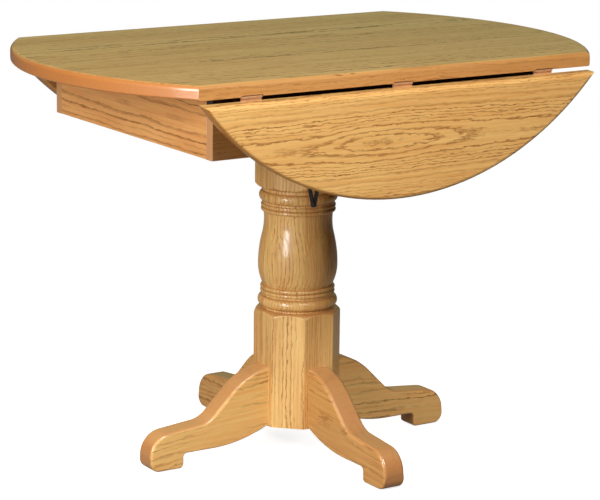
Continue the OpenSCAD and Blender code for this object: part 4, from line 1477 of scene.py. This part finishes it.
@dataclass
class Studio:
    """The camera, the lamps, the floor and what surrounds them."""

    # The camera's place in mm, its angles in degrees, and its focal length and centre in pixels of the frame.
    eye: Triple = (-2488.5, -3845.6, 1414.1)
    azimuth: float = 33.165
    elevation: float = 12.749
    roll: float = 0.731
    focal: float = 2527.3
    centre: Pair = (308.94, 249.98)
    frame: tuple[int, int] = (600, 500)
    sensor: float = 36.0
    floor_radius: float = 14.0
    # The level ways to the wall behind the table and to the one at its right, as the camera sees them.
    behind: Triple = (0.547, 0.837, 0.0)
    beside: Triple = (0.837, -0.547, 0.0)
    lamps: tuple[Lamp, ...] = (
        Lamp("front soft box", -100, 42, 2.7, (1.0, 1.0), 54),
        Lamp("left window", -159, 15, 3.0, (0.7, 1.7), 67),
        Lamp("back fill", 100, 30, 3.2, (1.6, 1.2), 42, mirrored=False),
        Lamp("ceiling panel", -155, 50.5, 2.7, (0.4, 0.35), 8),
    )

    def camera(self) -> None:
        """Places the camera where the photograph was taken from."""
        az, el, roll = (math.radians(angle) for angle in (self.azimuth, self.elevation, self.roll))
        back = Vector((-math.sin(az) * math.cos(el), -math.cos(az) * math.cos(el), math.sin(el)))
        right = (-back).cross(UP).normalized()
        up = right.cross(-back)
        level = right * math.cos(roll) + up * math.sin(roll)
        upward = up * math.cos(roll) - right * math.sin(roll)
        wide, high = self.frame
        data = bpy.data.cameras.new("camera")
        data.sensor_width = self.sensor
        data.lens = self.focal * self.sensor / wide
        data.shift_x = (wide / 2 - self.centre[0]) / wide
        data.shift_y = (self.centre[1] - high / 2) / wide
        data.clip_end = 100
        camera = bpy.data.objects.new("camera", data)
        turn = Matrix((level, upward, back)).transposed().to_4x4()
        camera.matrix_world = Matrix.Translation(Vector(self.eye) * MM) @ turn
        bpy.context.scene.collection.objects.link(camera)
        bpy.context.scene.camera = camera

    def floor(self) -> None:
        """Lays the paper under the table."""
        bm = bmesh.new()
        bmesh.ops.create_circle(bm, cap_ends=True, segments=96, radius=self.floor_radius)
        floor = cast(bm, "floor")
        floor.data.materials.append(Paper("pale studio floor").material())

    def world(self) -> None:
        """Surrounds the set with a white sweep for the camera and a dim room for the lacquer."""
        world = bpy.data.worlds.new("studio")
        bpy.context.scene.world = world
        world.use_nodes = True
        tree = world.node_tree
        tree.nodes.clear()
        node = partial(add, tree)
        coords = node(COORDS).outputs["Generated"]
        height = node(SPLIT, coords).outputs["Z"]
        # Grey walls above the horizon, a pale green one low behind the table and a dark one to its right.
        above = node(RANGE, height, 0.0, 0.1, **SMOOTH)
        behind = node(VECTOR, coords, self.behind, operation="DOT_PRODUCT").outputs["Value"]
        behind = node(RANGE, behind, 0.55, 0.85, **SMOOTH)
        behind = node("MULTIPLY", behind, node(RANGE, height, 0.65, 0.4, **SMOOTH))
        beside = node(VECTOR, coords, self.beside, operation="DOT_PRODUCT").outputs["Value"]
        beside = node(RANGE, beside, 0.25, 0.6, **SMOOTH)
        walls = {"Factor": behind, 6: linear("#3a3a36"), 7: linear("#b6c18a")}
        walls = node(MIX, walls, data_type="RGBA").outputs[2]
        room = node(MIX, {"Factor": above, 6: linear("#4c4636"), 7: walls}, data_type="RGBA").outputs[2]
        room = node(MIX, {"Factor": beside, 6: room, 7: linear("#0d0a06")}, data_type="RGBA").outputs[2]
        rays = node("ShaderNodeLightPath").outputs
        seen = node("MAXIMUM", rays["Is Camera Ray"], rays["Is Transmission Ray"])
        dim, white = node("ShaderNodeBackground", room, 0.55), node("ShaderNodeBackground", WHITE, 1.0)
        node("ShaderNodeOutputWorld", node("ShaderNodeMixShader", seen, dim, white))

    def build(self) -> None:
        """Sets up the whole studio."""
        self.camera()
        self.floor()
        self.world()
        for lamp in self.lamps:
            lamp.hang()
        bpy.context.scene.view_settings.view_transform = "Standard"
        LOG.info("the studio stands")


def main() -> None:
    """Loads the frame, then builds and dresses each part of the table in order."""
    logging.basicConfig(level=logging.INFO, format="%(message)s")
    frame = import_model()
    kit = Kit(frame["nodes"])
    Studio().build()
    for kind in (Boards, ApronBox, Carrier, TurnedColumn, Legs, Hinges, Stays, Fixings):
        kind(kit).build()
        LOG.info("%s done", kind.__name__)


if __name__ == "__main__":
    main()
